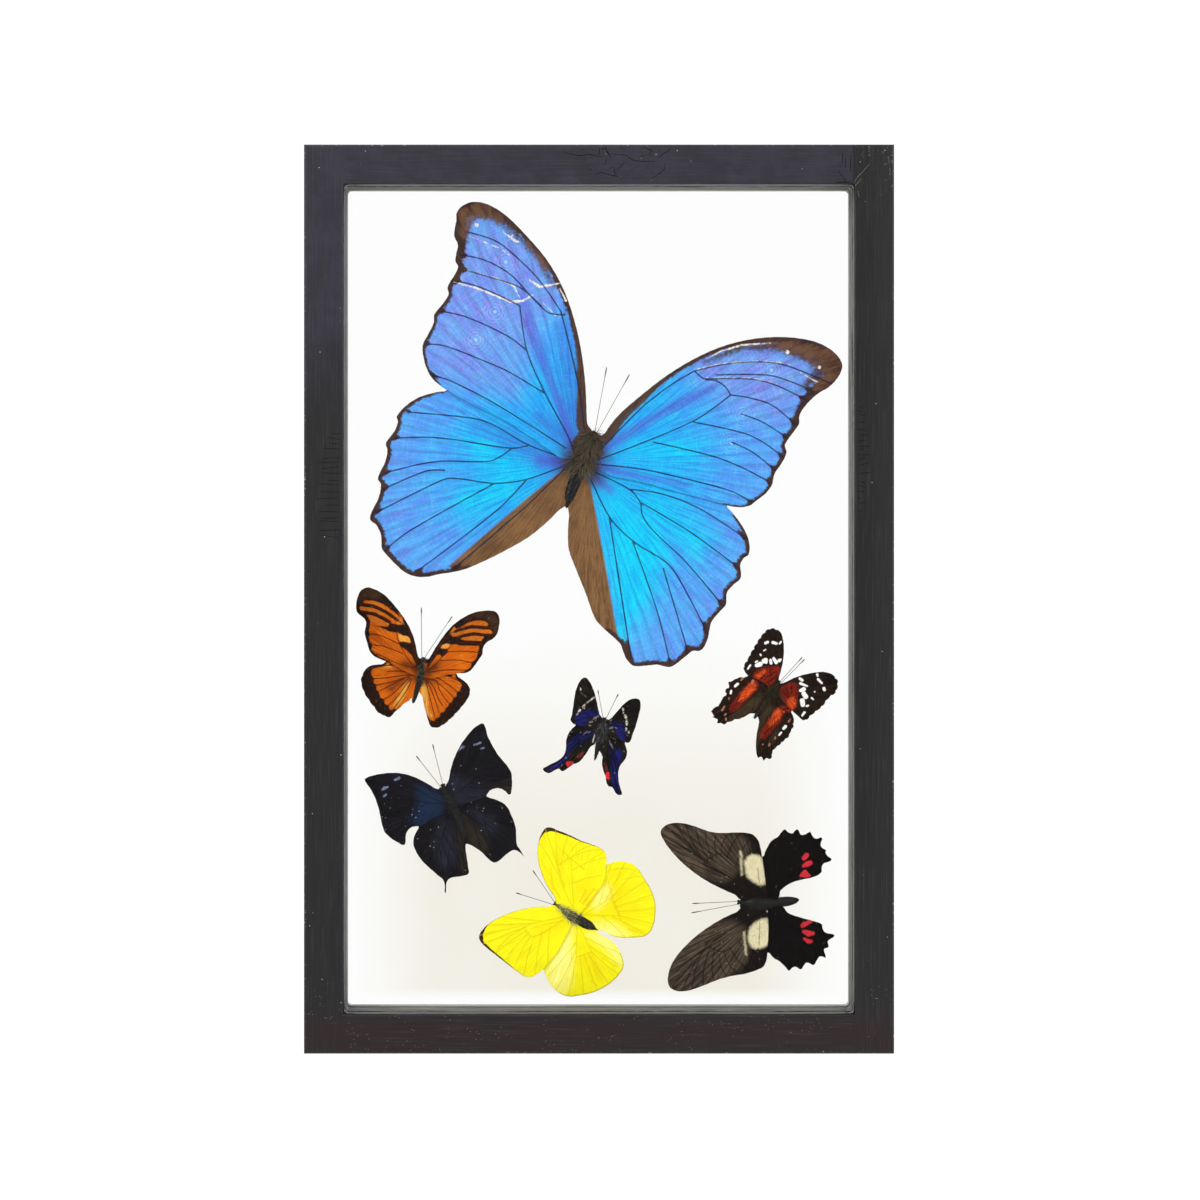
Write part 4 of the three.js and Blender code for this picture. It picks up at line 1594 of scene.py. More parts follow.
def blue_morpho() -> Butterfly:
    """Describe the large blue butterfly, azure with brown borders and rubbed wingtips.

    Returns:
        The butterfly.
    """
    fore_left = WingMarks(
        hinge=(578, 460),
        veins="575,455 569,438 547,397 528,353 521,308 / 521,308 490,293 467,285 450,283 / 528,353 "
            "510,339 467,319 440,313 / 545,395 510,374 490,365 446,348 427,346 / 567,450 495,405 452,383 "
            "430,376 / 564,317 548,314 513,278 498,268 482,261 462,257 / 562,314 539,281 507,250 492,241 "
            "468,234 / 542,308 527,294 515,287 466,272 / 585,430 580,390 562,314",
        strokes={
            "violet": "522,296,3 533,335,5 560,405,4 574,450,4",
            "deep": "566,330,6 575,400,12 572,440,14 540,420,6",
            "rub": "478,227,2 / 504,234,.4 516,243,.9 520,244,.4 / 509,243,.4 514,237,.5 / 530,282,.4 "
                "541,289,1.2 563,285,.4 / 455,284,.4 480,291,.9 512,304,1 524,303,1.2 534,297,.4 / "
                "561,291,.5 567,303,.9 / 466,272,.3 493,279,.5 515,288,.6 521,300,.4 / 470,238,.3 "
                "500,250,.4 512,258,.3 / 541,302,.3 557,318,.4",
            "apex": "476,212,6 492,216,5 512,230,3 536,256,2 556,288,2 / 465,232,3 463,262,2",
            "tear": "466,236,4 468,218,8 482,212,8 500,220,5 / 530,246,3 548,270,3",
            "eye": "507,264,4 / 496,314,4 / 477,342,4",
            "pupil": "507,264,1.4 / 496,314,1.4 / 477,342,1.4",
        },
        borders={
            "border": "588,452,5 584,363,4 572,311,5 554,271,4.5 525,235,4.5 495,209,7 473,204,14 "
                "457,225,10 459,271,6 449,299,4 434,328,3.4 426,365,2.6 440,388,1",
            "costa": "588,452,13 584,363,6 574,320,4",
        },
        patches={"dusk": "470,215 530,245 560,300 540,330 520,400 432,370 440,300 455,250"},
    )
    fore_right = WingMarks(
        hinge=(594, 462),
        veins="598,462 694,423 731,397 / 731,397 726,389 717,383 705,381 695,373 / 695,373 721,367 "
            "751,364 776,365 797,371 835,387 / 717,377 767,377 790,383 815,394 / 705,381 751,381 776,387 "
            "811,404 / 731,397 751,400 774,408 798,429 / 694,424 744,435 765,445 786,461 / 654,444 "
            "713,458 744,470 772,485 / 742,416 763,424 788,440 / 732,444 753,454 778,474 / 598,466 "
            "636,470 667,476 732,493 755,506 / 598,455 640,412 670,388 695,373",
        strokes={
            "violet": "602,452,6 640,428,4 680,405,5 712,390,4 / 598,468,5 640,478,3 690,487,2",
            "cyan": "640,452,8 690,455,8",
            "rub": "788,354,2 / 820,369,2 / 705,362,.3 722,353,.7 742,347,.8 772,345,.3 / 695,372,.4 "
                "722,366,.6 760,363,.4 790,366,.5 / 800,374,.3 818,384,.5 / 706,380,.4 752,380,.4 "
                "778,386,.4",
            "apex": "705,364,2 740,350,3 780,348,5 815,358,9 826,368,9 806,388,3",
            "tear": "622,483,2 632,485,1.2 / 770,346,3 800,350,6 828,362,12 838,376,9 818,390,5",
            "eye": "772,372,4 / 744,417,4 / 732,445,4",
            "pupil": "772,372,1.4 / 744,417,1.4 / 732,445,1.4",
        },
        borders={
            "border": "600,452,4 642,397,4 682,368,4 724,348,4 770,339,6 814,343,10 837,356,15 843,370,15 "
                "832,387,12 817,397,9 801,415,6 786,445,4 771,490,3.4 746,509,2.6 723,506,1",
            "costa": "600,452,11 642,397,7 660,382,4",
        },
        patches={"dusk": "690,360 770,348 835,365 800,400 775,420 700,385"},
    )
    hind_left = WingMarks(
        hinge=(572, 466),
        veins="566,460 530,447 493,426 473,420 410,414 / 530,447 513,450 452,441 426,439 396,440 / "
            "513,450 502,458 490,463 443,463 421,466 385,475 / 446,472 427,473 382,492 / 566,467 528,481 "
            "496,485 455,480 443,482 378,514 / 496,485 410,533 386,552 / 528,481 498,512 418,573 / "
            "566,470 527,508 455,570",
        strokes={
            "cyan": "470,440,6 520,475,12 470,505,12",
            "deep": "480,428,4 562,466,14",
            "violet": "568,462,7 540,462,4",
        },
        borders={
            "border": "452,390,1 429,396,3 399,427,4 379,480,4.2 371,520,4.2 392,561,5 422,579,5 470,570,3",
        },
        patches={"fold": "566,470 450,568 466,574 528,543 556,521 570,505 573,478"},
    )
    hind_right = WingMarks(
        hinge=(592, 474),
        veins="596,474 630,491 641,504 643,516 652,530 687,564 724,608 / 641,504 690,533 740,570 / "
            "630,491 655,494 679,501 705,513 748,541 / 591,478 610,518 633,542 667,564 679,579 709,636 / "
            "610,518 632,660 / 633,542 658,613 671,665 / 664,570 689,654",
        strokes={
            "cyan": "616,500,12 640,550,30 634,590,24 620,630,14 / 650,505,12 700,545,12",
            "violet": "597,480,5 612,492,3",
        },
        borders={
            "border": "735,516,2 750,544,4 714,620,4.4 692,653,5 674,668,4.5 636,668,4.5 622,647,4.5 "
                "609,634,4",
        },
        patches={"fold": "586,478 592,490 621,652 595,624 566,553 564,530 568,507 576,486"},
    )
    blue = (
        Layer("reach", "5ca2ee", cover=0.75, span=(24.0, 64.0), stage=Stage.UNDER),
        Layer("dusk", "7c94da", 12.0, 2.0, 0.42, stage=Stage.UNDER),
        Layer("cyan", "00d0f4", 14.0, 2.0, 0.95, stage=Stage.UNDER),
        Layer("deep", "3268cc", 9.0, 2.0, 0.6, stage=Stage.UNDER),
        Layer("violet", "464ec6", 3.0, 0.9, 0.6, stage=Stage.UNDER),
        Layer("reach", "343066", cover=0.8, span=(9.0, 1.0), stage=Stage.UNDER),
        Layer("eye", "5cb4f8", 1.6, 0.3, 0.3, worn=0.0),
        Layer("pupil", "d6e6fa", 0.5, 0.1, 0.55, worn=0.0),
        Layer("fold", "85603c", 1.0, 0.35, worn=0.9),
        Layer("apex", "482c19", 3.0, 3.2, 0.96, 0.3),
        Layer("border", "452b1e", 0.8, 1.5, 1.0, 0.08, veins=1.4, worn=0.9),
        Layer("costa", "523a2b", 0.8, 0.6, 0.97, worn=1.0),
        Layer("tear", "6e4c36", 1.6, 1.6, 0.9, 0.35, worn=1.0),
        Layer("rub", "f6ead4", 0.3, 0.7, 0.9, 0.8, worn=0.0),
    )
    brown = (Layer("border", "4b3726", 1.0, 0.4, 0.8), Layer("eye", "d8c27a", 1.0, 0.2, 0.9),
             Layer("pupil", "16100c", 0.8, 0.1, 0.95))
    return Butterfly(
        name="blue_morpho", grid=MORPHO_GRID,
        rings="595.5,432,0 595,434,3 593.5,439,5 591,445,5.5 588,452,8.5 584,462,10 580,472,9.5 "
            "577,480,6.8 574,487,7 571.5,495,7 569.5,502,5.8 568,507,3.6 567.4,510,0",
        antennae="595.7,434 607.6,369.2 / 597.8,434.5 630.4,376.3",
        wings=(hind_left, hind_right, fore_left, fore_right),
        fore_scales=WingScales(
            "azure_scales", "1eb2f0", "2474e2", blue, light="60d0fa", vein="10143a", vein_width=0.34,
            vein_cover=0.95, streak=0.6, ripple=0.3, ringed="eye", pleats=88.0, pleat_cover=0.2,
            speckle=0.34, roughness=0.5, metallic=0.04, specular=0.16, relief=1.0),
        under_scales=WingScales(
            "morpho_under_scales", "6e5a44", "4d3d2d", brown, vein="3a2c20", streak=0.8),
        skin=Cuticle("morpho_cuticle", "08090c", "1d1d22", 0.3),
        fur=Fur("morpho_fur", "15110e", "94866e"), hairs=6000, hair_length=4.6, pitch=0.42,
        vein_height=0.12, seed=11,
    )


def banded_orange() -> Butterfly:
    """Describe the orange butterfly, whose forewings have black tips and two black bars.

    Returns:
        The butterfly.
    """
    fore_left = WingMarks(
        hinge=(690, 880),
        veins="140,280 270,300 330,322 570,480 / 150,350 280,372 350,400 470,480 / 235,555 345,572 "
            "500,645 / 245,658 370,670 545,740 / 255,742 320,748 500,830 660,870 / 488,550 515,650 "
            "605,805 660,865 / 600,520 650,700 675,860",
        strokes={
            "dusk": "560,830,40 690,890,60",
            "black": "150,283,5 270,300,8 390,352,7 490,425,5 / 150,352,6 280,372,8 420,445,7",
            "tip": "140,230,30 210,165,46 310,200,30",
        },
        borders={
            "black": "684,830,34 672,730,36 520,350,10 400,225,40 220,125,90 150,165,80 120,215,50 "
                "113,300,28 125,365,22 180,400,30 205,450,40 190,545,34 232,710,22 262,755,12 430,820,3",
        },
        patches={
            "black": "110,265 170,262 195,245 340,270 520,400 500,340 400,240 250,140 150,160 / 190,468 "
                "400,488 430,470 590,500 640,600 590,572 540,572 500,530 450,540 330,494 / 518,645 "
                "545,625 645,655 672,700 690,850 625,755",
            "streak": "205,255 330,270 418,325 400,335 / 148,300 210,292 340,338 420,388 400,400 240,348 "
                "150,342 / 205,382 330,398 445,468 330,470 265,440 / 430,392 470,385 520,410 582,490 "
                "520,478 470,445",
            "pale": "505,558 595,585 640,655 515,620 / 520,415 585,492 500,455",
        },
    )
    fore_right = WingMarks(
        hinge=(755, 900),
        veins="1005,545 1080,508 1180,490 1380,505 / 1050,590 1110,565 1200,555 1390,580 / 1075,640 "
            "1140,632 1280,655 / 948,722 1140,716 1275,735 / 890,802 1060,798 1215,830 / 775,915 950,888 "
            "1150,893 / 1000,645 890,790 775,900 / 770,880 900,640 1000,545",
        strokes={
            "dusk": "850,860,40 755,905,60",
            "black": "1030,532,4 1180,490,7 1380,505,7 / 1070,582,5 1200,555,7 1390,580,6",
            "tip": "1240,385,20 1340,385,40 1395,450,40 1400,530,20",
        },
        borders={
            "black": "775,830,28 815,735,38 880,620,28 1000,470,16 1140,385,46 1240,350,60 1340,340,85 "
                "1415,380,70 1438,450,55 1420,540,38 1390,595,30 1310,630,44 1275,745,30 1185,880,22 "
                "1150,912,8 1080,920,3",
        },
        patches={
            "black": "1005,478 1060,432 1150,400 1290,380 1420,400 1430,520 1390,580 1320,450 1250,432 "
                "1170,445 1040,500 / 890,655 915,605 960,575 1070,598 1100,622 1290,628 1290,652 1090,660 "
                "980,640 / 775,850 800,760 835,705 880,690 945,702 945,730 905,752 860,745 / 1330,560 "
                "1400,590 1300,640 1270,625",
            "streak": "1128,475 1170,448 1240,437 1315,442 1320,462 1180,485 / 955,548 1010,512 1180,500 "
                "1368,518 1380,545 1200,548 1030,580 975,572 / 1065,592 1200,566 1295,574 1275,600 "
                "1220,622 1130,618 / 960,545 1010,500 1130,480 1110,500",
            "pale": "872,672 920,650 995,645 985,672 930,690 865,692 / 960,545 1010,510 1050,510 1010,555",
        },
    )
    hind_left = WingMarks(
        hinge=(670, 925),
        teeth=(((150, 930), (410, 1335), 6, 0.26),),
        veins="660,905 470,848 380,850 240,880 / 660,915 500,900 400,905 / 655,925 360,965 255,968 / "
            "640,935 440,1000 290,1030 / 560,965 325,1085 / 600,960 450,1110 365,1165 / 615,965 490,1140 "
            "400,1225 / 625,970 585,1070 450,1260",
        tuck=1.9,
        strokes={"dusk": "660,930,50 520,880,24 / 430,1060,14 560,970,14"},
        borders={
            "black": "430,833,3 245,848,18 190,885,55 160,960,90 165,1020,110 190,1095,112 335,1305,90 "
                "400,1330,60 480,1265,8",
        },
        patches={
            "buff": "600,990 545,1150 455,1260 470,1200 560,1030 / 360,860 420,845 440,860 400,872",
        },
    )
    hind_right = WingMarks(
        hinge=(752, 965),
        teeth=(((1185, 1090), (830, 1430), 6, 0.24),),
        veins="770,955 950,945 1110,1020 / 765,962 870,965 1050,1095 / 765,965 840,985 1010,1140 / "
            "860,990 885,1080 965,1190 / 765,975 830,1050 870,1150 920,1230 / 762,985 810,1080 880,1280 / "
            "758,1000 840,1320",
        strokes={"dusk": "750,970,50 830,990,20"},
        borders={
            "black": "960,935,3 1100,992,22 1150,1040,60 1170,1100,95 1130,1180,100 1020,1310,95 "
                "885,1415,75 815,1415,60 795,1370,25 770,1300,4",
        },
        patches={"buff": "712,1045 742,1010 762,1040 772,1200 790,1290 815,1310 795,1330 765,1280"},
    )
    layers = (
        Layer("buff", "f4bc50", 1.6, 0.5, 0.85, stage=Stage.UNDER),
        Layer("pale", "fab048", 0.6, 0.3, 0.8, stage=Stage.UNDER),
        Layer("dusk", "451a08", 4.6, 1.2, 0.9, 0.3),
        Layer("streak", "d27420", 0.35, 0.3, 0.85, 0.2, worn=0.7),
        Layer("black", "1a110c", 0.4, 0.6, 1.0, 0.14, veins=0.5),
        Layer("tip", "4a3322", 2.0, 1.0, 0.75, 0.2, worn=1.0),
    )
    under = (Layer("black", "5a4632", 0.4, 0.1, 0.9),)
    return Butterfly(
        name="banded_orange", grid=ORANGE_GRID,
        rings="737,770,0 736,780,16 732,805,26 727,825,24 722,850,34 715,900,38 708,950,36 700,1000,28 "
            "681,1050,30 664,1100,27 650,1150,22 640,1185,14 635,1202,0",
        antennae="718,755 715,315 / 765,745 1000,395",
        wings=(hind_left, hind_right, fore_left, fore_right),
        fore_scales=WingScales(
            "orange_scales", "da680a", "8a3206", layers, light="f09626", vein="4a1806", vein_width=0.28,
            vein_cover=0.9, streak=0.8, speckle=0.4, specks=0.35, specular=0.06),
        under_scales=WingScales("orange_under_scales", "d99a54", "b87838", under, vein="5a3a20"),
        skin=Cuticle("orange_cuticle", "080608", "242120", 0.42),
        fur=Fur("orange_fur", "0c0a08", "7a765e"), hairs=1500, hair_length=1.1, pitch=0.26, seed=21,
    )


def blue_metalmark() -> Butterfly:
    """Describe the small black butterfly with royal blue patches, red spots and tails.

    Returns:
        The butterfly.
    """
    fore_left = WingMarks(
        hinge=(775, 640),
        veins=fan((775, 640), ((650, 420), (590, 500)), "700,260 640,180 590,152 545,200 510,280 492,370 "
            "478,460 462,560 460,630"),
        strokes={
            "white": "702,366,9 664,398,7 / 645,410,9 630,422,8 / 608,442,7 590,466,15 598,482,8 / "
                "555,500,9 540,515,9 / 530,540,6 515,552,6 / 560,275,7 / 555,262,3 558,288,3",
            "dust": "742,572,12 700,598,10 / 722,610,9 / 680,628,11 655,635,8 / 668,670,7 650,668,5 / "
                "562,315,3 620,362,3 / 500,645,4",
        },
        patches={
            "blue": "505,570 560,520 640,505 700,520 690,560 640,590 622,640 520,685 500,620",
            "navy": "640,500 730,490 768,530 772,580 700,590 650,560",
        },
    )
    fore_right = WingMarks(
        hinge=(850, 650),
        veins=fan((850, 650), ((1010, 560), (1020, 680)), "1050,425 1110,385 1160,378 1200,420 1205,500 "
            "1190,590 1160,680 1120,760 1100,840"),
        strokes={
            "white": "1012,485,8 1018,500,12 / 1018,525,8 1022,535,6 / 1040,562,12 1045,580,13 / "
                "1052,605,8 / 1055,628,13 1055,645,12 / 1056,662,7 / 1050,700,9 1050,718,9 / 1078,735,9 "
                "1080,750,6",
            "dust": "890,606,8 880,620,6 / 880,645,6 / 900,690,10 875,700,9 / 930,690,6 950,700,4 / "
                "900,730,6 / 1060,775,5 / 1070,460,5",
        },
        patches={
            "blue": "925,668 960,648 1010,655 1038,700 1035,840 1000,820",
            "navy": "900,600 950,640 990,640 960,680 900,690 870,670",
        },
    )
    hind_left = WingMarks(
        hinge=(760, 730),
        veins=fan((750, 730), ((560, 800), (560, 880)), "430,760 400,850 395,930 300,1080 200,1150 "
            "340,1150 430,1130 520,1075 640,960"),
        strokes={
            "red": "418,1082,20 462,1078,24 / 430,1105,16",
            "ember": "530,1015,14 560,985,20 582,965,10",
            "dust": "400,1018,9 / 590,772,7 / 600,760,4 630,735,5 / 560,800,4 / 660,735,5 640,750,5 / "
                "462,740,7",
            "white": "708,770,4 690,850,6",
        },
        patches={
            "blue": "455,830 520,780 590,770 620,790 470,910 380,1060 240,1150 190,1145 300,1075 372,1005 "
                "410,930 412,880",
            "navy": "480,790 680,720 700,760 560,880 470,930",
        },
    )
    hind_right = WingMarks(
        hinge=(830, 750),
        veins=fan((835, 750), ((920, 880), (890, 950)), "1045,900 1060,960 1045,1030 975,1120 970,1250 "
            "1000,1400 940,1400 870,1330 810,1180"),
        strokes={
            "red": "852,1192,22 850,1220,26 868,1240,14",
            "ember": "822,1080,10 835,1150,12",
            "dust": "922,1183,9 / 885,870,8 915,925,6 / 905,800,6 935,815,5 / 935,850,7 / 870,840,5 "
                "880,880,5 / 1025,940,5 1030,955,4",
        },
        patches={
            "blue": "925,935 965,925 1000,960 1000,1010 962,1120 985,1400 945,1390 888,1230 900,1020",
            "navy": "860,840 930,940 885,1120",
        },
    )
    layers = (
        Layer("navy", "1a1c50", 1.6, 0.3, 0.9, stage=Stage.UNDER),
        Layer("blue", "1e2172", 1.2, 0.8, 0.95, stage=Stage.UNDER),
        Layer("ember", "7a302a", 0.7, 0.35, 0.8),
        Layer("dust", "9a9696", 0.35, 0.3, 0.6, 0.5),
        Layer("red", "e4343c", 0.35, 0.2, 0.95, 0.1),
        Layer("white", "efe6d4", 0.35, 0.3, 0.9, 0.5),
    )
    under = (Layer("red", "c8443a", 0.4, 0.1, 0.9), Layer("white", "cfc6b8", 0.3, 0.1, 0.8))
    return Butterfly(
        name="blue_metalmark", grid=METALMARK_GRID,
        rings="817,590,0 816,602,24 814,625,34 808,655,48 798,700,56 785,760,56 770,810,44 760,850,34 "
            "748,900,30 735,950,25 722,1005,16 712,1040,8 709,1052,0",
        antennae="800,580 745,290 / 845,575 965,330",
        wings=(hind_left, hind_right, fore_left, fore_right),
        fore_scales=WingScales(
            "metalmark_scales", "231d16", "050404", layers, light="4a3e32", vein="040404", vein_width=0.22,
            vein_cover=0.8, streak=1.0, pleats=70.0, pleat_cover=0.7, speckle=0.7, specks=0.4,
            specular=0.06),
        under_scales=WingScales("metalmark_under_scales", "2b241d", "1a1612", under, vein="0f0d0b"),
        skin=Cuticle("metalmark_cuticle", "070605", "22201c", 0.42),
        fur=Fur("metalmark_fur", "0a0a0a", "7c7c84"), hairs=1300, hair_length=1.6, pitch=0.17,
        vein_height=0.05, seed=31,
    )


def scarlet_peacock() -> Butterfly:
    """Describe the brown butterfly with white spots and a scarlet band over all four wings.

    Returns:
        The butterfly.
    """
    fore_left = WingMarks(
        teeth=(((755, 160), (435, 530), 8, 0.42),),
        hinge=(715, 745),
        veins=fan((715, 745), ((690, 520), (600, 560)), "800,220 740,155 680,155 615,210 570,290 520,370 "
            "470,440 435,530 480,605"),
        strokes={
            "white": "562,510,18 595,498,24 / 552,478,8 570,466,7 / 632,468,22 650,458,22 655,482,13 / "
                "698,458,13 702,488,14 / 728,442,14 752,480,18 / 784,462,17 798,452,10 / 648,292,13 "
                "670,282,13 / 722,285,15 754,296,13 / 785,298,8 800,280,9 / 630,368,5 650,355,6 / "
                "598,402,8 604,412,8 / 476,543,8 500,508,9",
            "dark": "640,690,6 760,620,6 / 660,620,5 760,570,6 / 700,660,5 770,590,4 / 600,640,8 640,600,6",
        },
        patches={
            "red": "525,610 625,530 770,520 795,540 770,610 700,710 640,720 580,700",
            "glow": "545,615 640,545 655,570 580,640",
            "olive": "600,690 660,660 720,690 715,760 640,760 590,730",
        },
    )
    fore_right = WingMarks(
        teeth=(((1335, 630), (1030, 1050), 8, 0.42),),
        hinge=(770, 760),
        veins=fan((770, 760), ((960, 720), (930, 860)), "1080,595 1180,575 1270,595 1340,650 1355,720 "
            "1290,810 1210,900 1120,990 1030,1050"),
        strokes={
            "white": "1008,855,24 1014,895,22 / 1022,785,22 1042,815,24 / 992,756,15 1024,742,20 / "
                "990,686,13 1055,712,9 / 986,640,14 1008,655,14 / 1155,600,13 1158,612,10 / 1164,646,13 "
                "1200,684,10 / 1220,735,15 1226,750,14 / 1130,768,8 / 1100,828,9 1115,842,8 / 1050,908,10 "
                "1066,903,9 / 1008,1000,10 1030,970,12",
            "dark": "850,720,6 880,820,6 / 905,700,6 905,780,6 / 820,760,5 850,800,6",
        },
        patches={
            "red": "800,725 930,672 960,700 960,860 945,930 900,960 800,800",
            "glow": "870,840 920,820 945,850 935,920 905,945 875,900",
            "olive": "770,730 820,760 850,900 800,900 760,830",
        },
    )
    hind_left = WingMarks(
        teeth=(((440, 630), (115, 955), 7, 0.36), ((130, 1000), (430, 1030), 5, 0.36)),
        hinge=(690, 790),
        veins=fan((680, 790), ((500, 720), (440, 850)), "440,630 330,650 280,720 240,800 180,900 115,955 "
            "130,1030 180,1080 320,1055 520,960"),
        strokes={
            "white": "352,714,12 378,692,13 / 314,760,10 309,784,10",
            "peach": "514,688,10 528,660,12 / 225,950,9 248,912,8 / 293,832,8 292,845,6 / 262,985,9 "
                "250,1000,7 / 425,642,9 410,655,7 / 262,1030,8 265,1050,6",
            "dark": "330,920,6 420,850,5 / 360,880,4 400,800,5",
        },
        patches={
            "red": "530,650 575,690 570,740 340,965 305,970 290,940 440,730",
            "glow": "540,680 560,710 530,760 410,870 380,870 400,810 450,740 500,690",
            "olive": "300,1060 300,1010 590,780 620,800 590,880 520,970 430,1035",
        },
    )
    hind_right = WingMarks(
        teeth=(((925, 1080), (700, 1400), 7, 0.36),),
        hinge=(715, 850),
        veins=fan((720, 850), ((800, 960), (700, 1040)), "910,1000 925,1080 905,1160 870,1215 810,1260 "
            "720,1330 700,1420 630,1450 575,1410 560,1200"),
        strokes={
            "white": "828,1128,14 846,1108,15 / 784,1192,9 803,1168,9",
            "peach": "875,1062,8 890,1040,9 / 690,1282,9 684,1298,7 / 622,1284,9 / 745,1215,8 742,1230,6 "
                "/ 830,965,8",
            "dark": "640,1180,5 700,1120,5 / 700,1080,5 740,1000,4 / 830,940,6 870,930,6",
        },
        patches={
            "red": "760,930 820,905 890,920 925,960 830,985 800,1050 640,1235 600,1225 600,1170",
            "glow": "780,930 810,950 790,1020 690,1110 680,1080 710,1010 745,955",
            "olive": "605,1000 640,920 700,900 740,930 640,1080 570,1290 560,1180 / 770,1120 790,1150 "
                "700,1300 670,1300 730,1160",
        },
    )
    layers = (
        Layer("olive", "4a3b27", 1.6, 0.3, 0.8, stage=Stage.UNDER),
        Layer("red", "932711", 0.9, 0.8, 0.9, 0.45, worn=1.0),
        Layer("glow", "f25c24", 1.2, 0.8, 0.92, 0.3, worn=0.8),
        Layer("dark", "1c0b06", 0.35, 0.3, 0.8),
        Layer("peach", "c98a68", 0.3, 0.1, 0.75),
        Layer("white", "fffdf8", 0.2, 0.1, 1.0, stage=Stage.TOP, worn=0.1),
    )
    under = (Layer("red", "9a5a3a", 0.6, 0.2, 0.8), Layer("white", "e0d4c0", 0.2, 0.05, 0.9))
    return Butterfly(
        name="scarlet_peacock", grid=PEACOCK_GRID,
        rings="783,668,0 778,676,20 766,694,34 752,712,36 740,740,46 722,775,50 700,812,44 672,850,30 "
            "645,885,28 615,925,28 588,965,26 562,1000,20 545,1027,10 540,1036,0",
        antennae="775,690 1010,430 / 790,700 1032,450",
        wings=(hind_left, hind_right, fore_left, fore_right),
        fore_scales=WingScales(
            "peacock_scales", "2a1b11", "0e0704", layers, light="3c2a1c", vein="120805", vein_width=0.2,
            vein_cover=0.55, streak=1.0, speckle=0.6, specular=0.06),
        under_scales=WingScales("peacock_under_scales", "7d6145", "5a432e", under, vein="3d2c1e"),
        skin=Cuticle("peacock_cuticle", "0a0705", "2a241b", 0.5),
        fur=Fur("peacock_fur", "120d08", "5c5032"), hairs=1800, hair_length=1.8, pitch=0.2,
        vein_height=0.05, seed=41,
    )


def black_leafwing() -> Butterfly:
    """Describe the hooked and tailed near-black butterfly with a navy bloom at its wing bases.

    Returns:
        The butterfly.
    """
    fore_left = WingMarks(
        hinge=(740, 740),
        veins=fan((740, 740), ((480, 600), (470, 700)), "300,490 190,505 95,545 150,645 195,740 215,850 "
            "250,970 350,1055 425,1070 440,940"),
        strokes={
            "pale": "343,546,9 375,532,11 / 238,628,8 255,615,14 280,604,8 / 250,680,7 268,668,8",
        },
        patches={"navy": "520,605 600,598 670,630 730,690 740,760 700,850 575,930 475,870 525,740"},
    )
    fore_right = WingMarks(
        hinge=(800, 700),
        veins=fan((800, 700), ((940, 440), (1020, 520)), "905,190 1000,110 1065,85 1100,190 1180,320 "
            "1260,420 1300,500 1305,600 1280,660 1130,620"),
        strokes={"pale": "880,290,8 902,272,11 / 995,258,7 1045,240,8 / 1048,287,6 1072,283,7"},
        patches={
            "bloom": "800,470 860,510 1080,585 1112,650 1100,700 900,745 840,730 785,600",
            "brown": "1130,600 1290,560 1300,650",
        },
    )
    hind_left = WingMarks(
        hinge=(800, 830),
        veins=fan((790, 830), ((650, 980), (720, 1040)), "540,960 497,1080 540,1180 620,1280 700,1345 "
            "755,1400 850,1345 945,1310 920,1120"),
        patches={
            "bloom": "700,880 760,870 830,1000 850,1150 800,1300 700,1250 660,1100 660,980",
            "brown": "840,900 915,1080 945,1310 900,1320 880,1150 840,1000",
        },
    )
    hind_right = WingMarks(
        hinge=(850, 780),
        veins=fan((860, 790), ((1080, 800), (1080, 930)), "1150,690 1255,740 1320,850 1340,960 1345,1080 "
            "1320,1125 1240,1185 1160,1230 1060,1150"),
        patches={
            "brown": "905,840 960,880 1090,1040 1110,1110 1060,1140 945,1060",
            "bloom": "960,790 1150,830 1190,950 1120,1000 1040,920",
        },
    )
    layers = (
        Layer("bloom", "282838", 4.0, 0.8, 0.85, stage=Stage.UNDER),
        Layer("navy", "1b2c4a", 4.5, 1.4, 0.95, 0.3, stage=Stage.UNDER),
        Layer("brown", "332b22", 4.0, 0.8, 0.9, stage=Stage.UNDER),
        Layer("pale", "8d9ac2", 0.45, 0.2, 0.8, 0.4),
    )
    under = (Layer("brown", "6a5a44", 2.0, 0.5, 0.7), Layer("navy", "5c4a38", 2.0, 0.5, 0.6))
    return Butterfly(
        name="black_leafwing", grid=LEAFWING_GRID,
        rings="738,595,0 740,604,24 746,625,36 758,650,36 775,690,50 800,745,56 828,800,54 850,850,40 "
            "868,895,34 885,940,36 903,1000,34 917,1045,22 925,1072,10 927,1080,0",
        antennae="735,590 652,255 / 715,605 517,350",
        wings=(hind_left, hind_right, fore_left, fore_right),
        fore_scales=WingScales(
            "leafwing_scales", "16131a", "070609", layers, light="2c293a", vein="050408", vein_width=0.24,
            vein_cover=0.6, streak=1.0, pleats=60.0, pleat_cover=0.3, speckle=0.7, specks=0.8,
            specular=0.08,
            relief=0.9),
        under_scales=WingScales("leafwing_under_scales", "5c4c39", "3f3327", under, vein="2c241c"),
        skin=Cuticle("leafwing_cuticle", "070607", "201e1d", 0.4),
        fur=Fur("leafwing_fur", "090808", "48443e"), hairs=1500, hair_length=1.1, pitch=0.26, seed=51,
    )


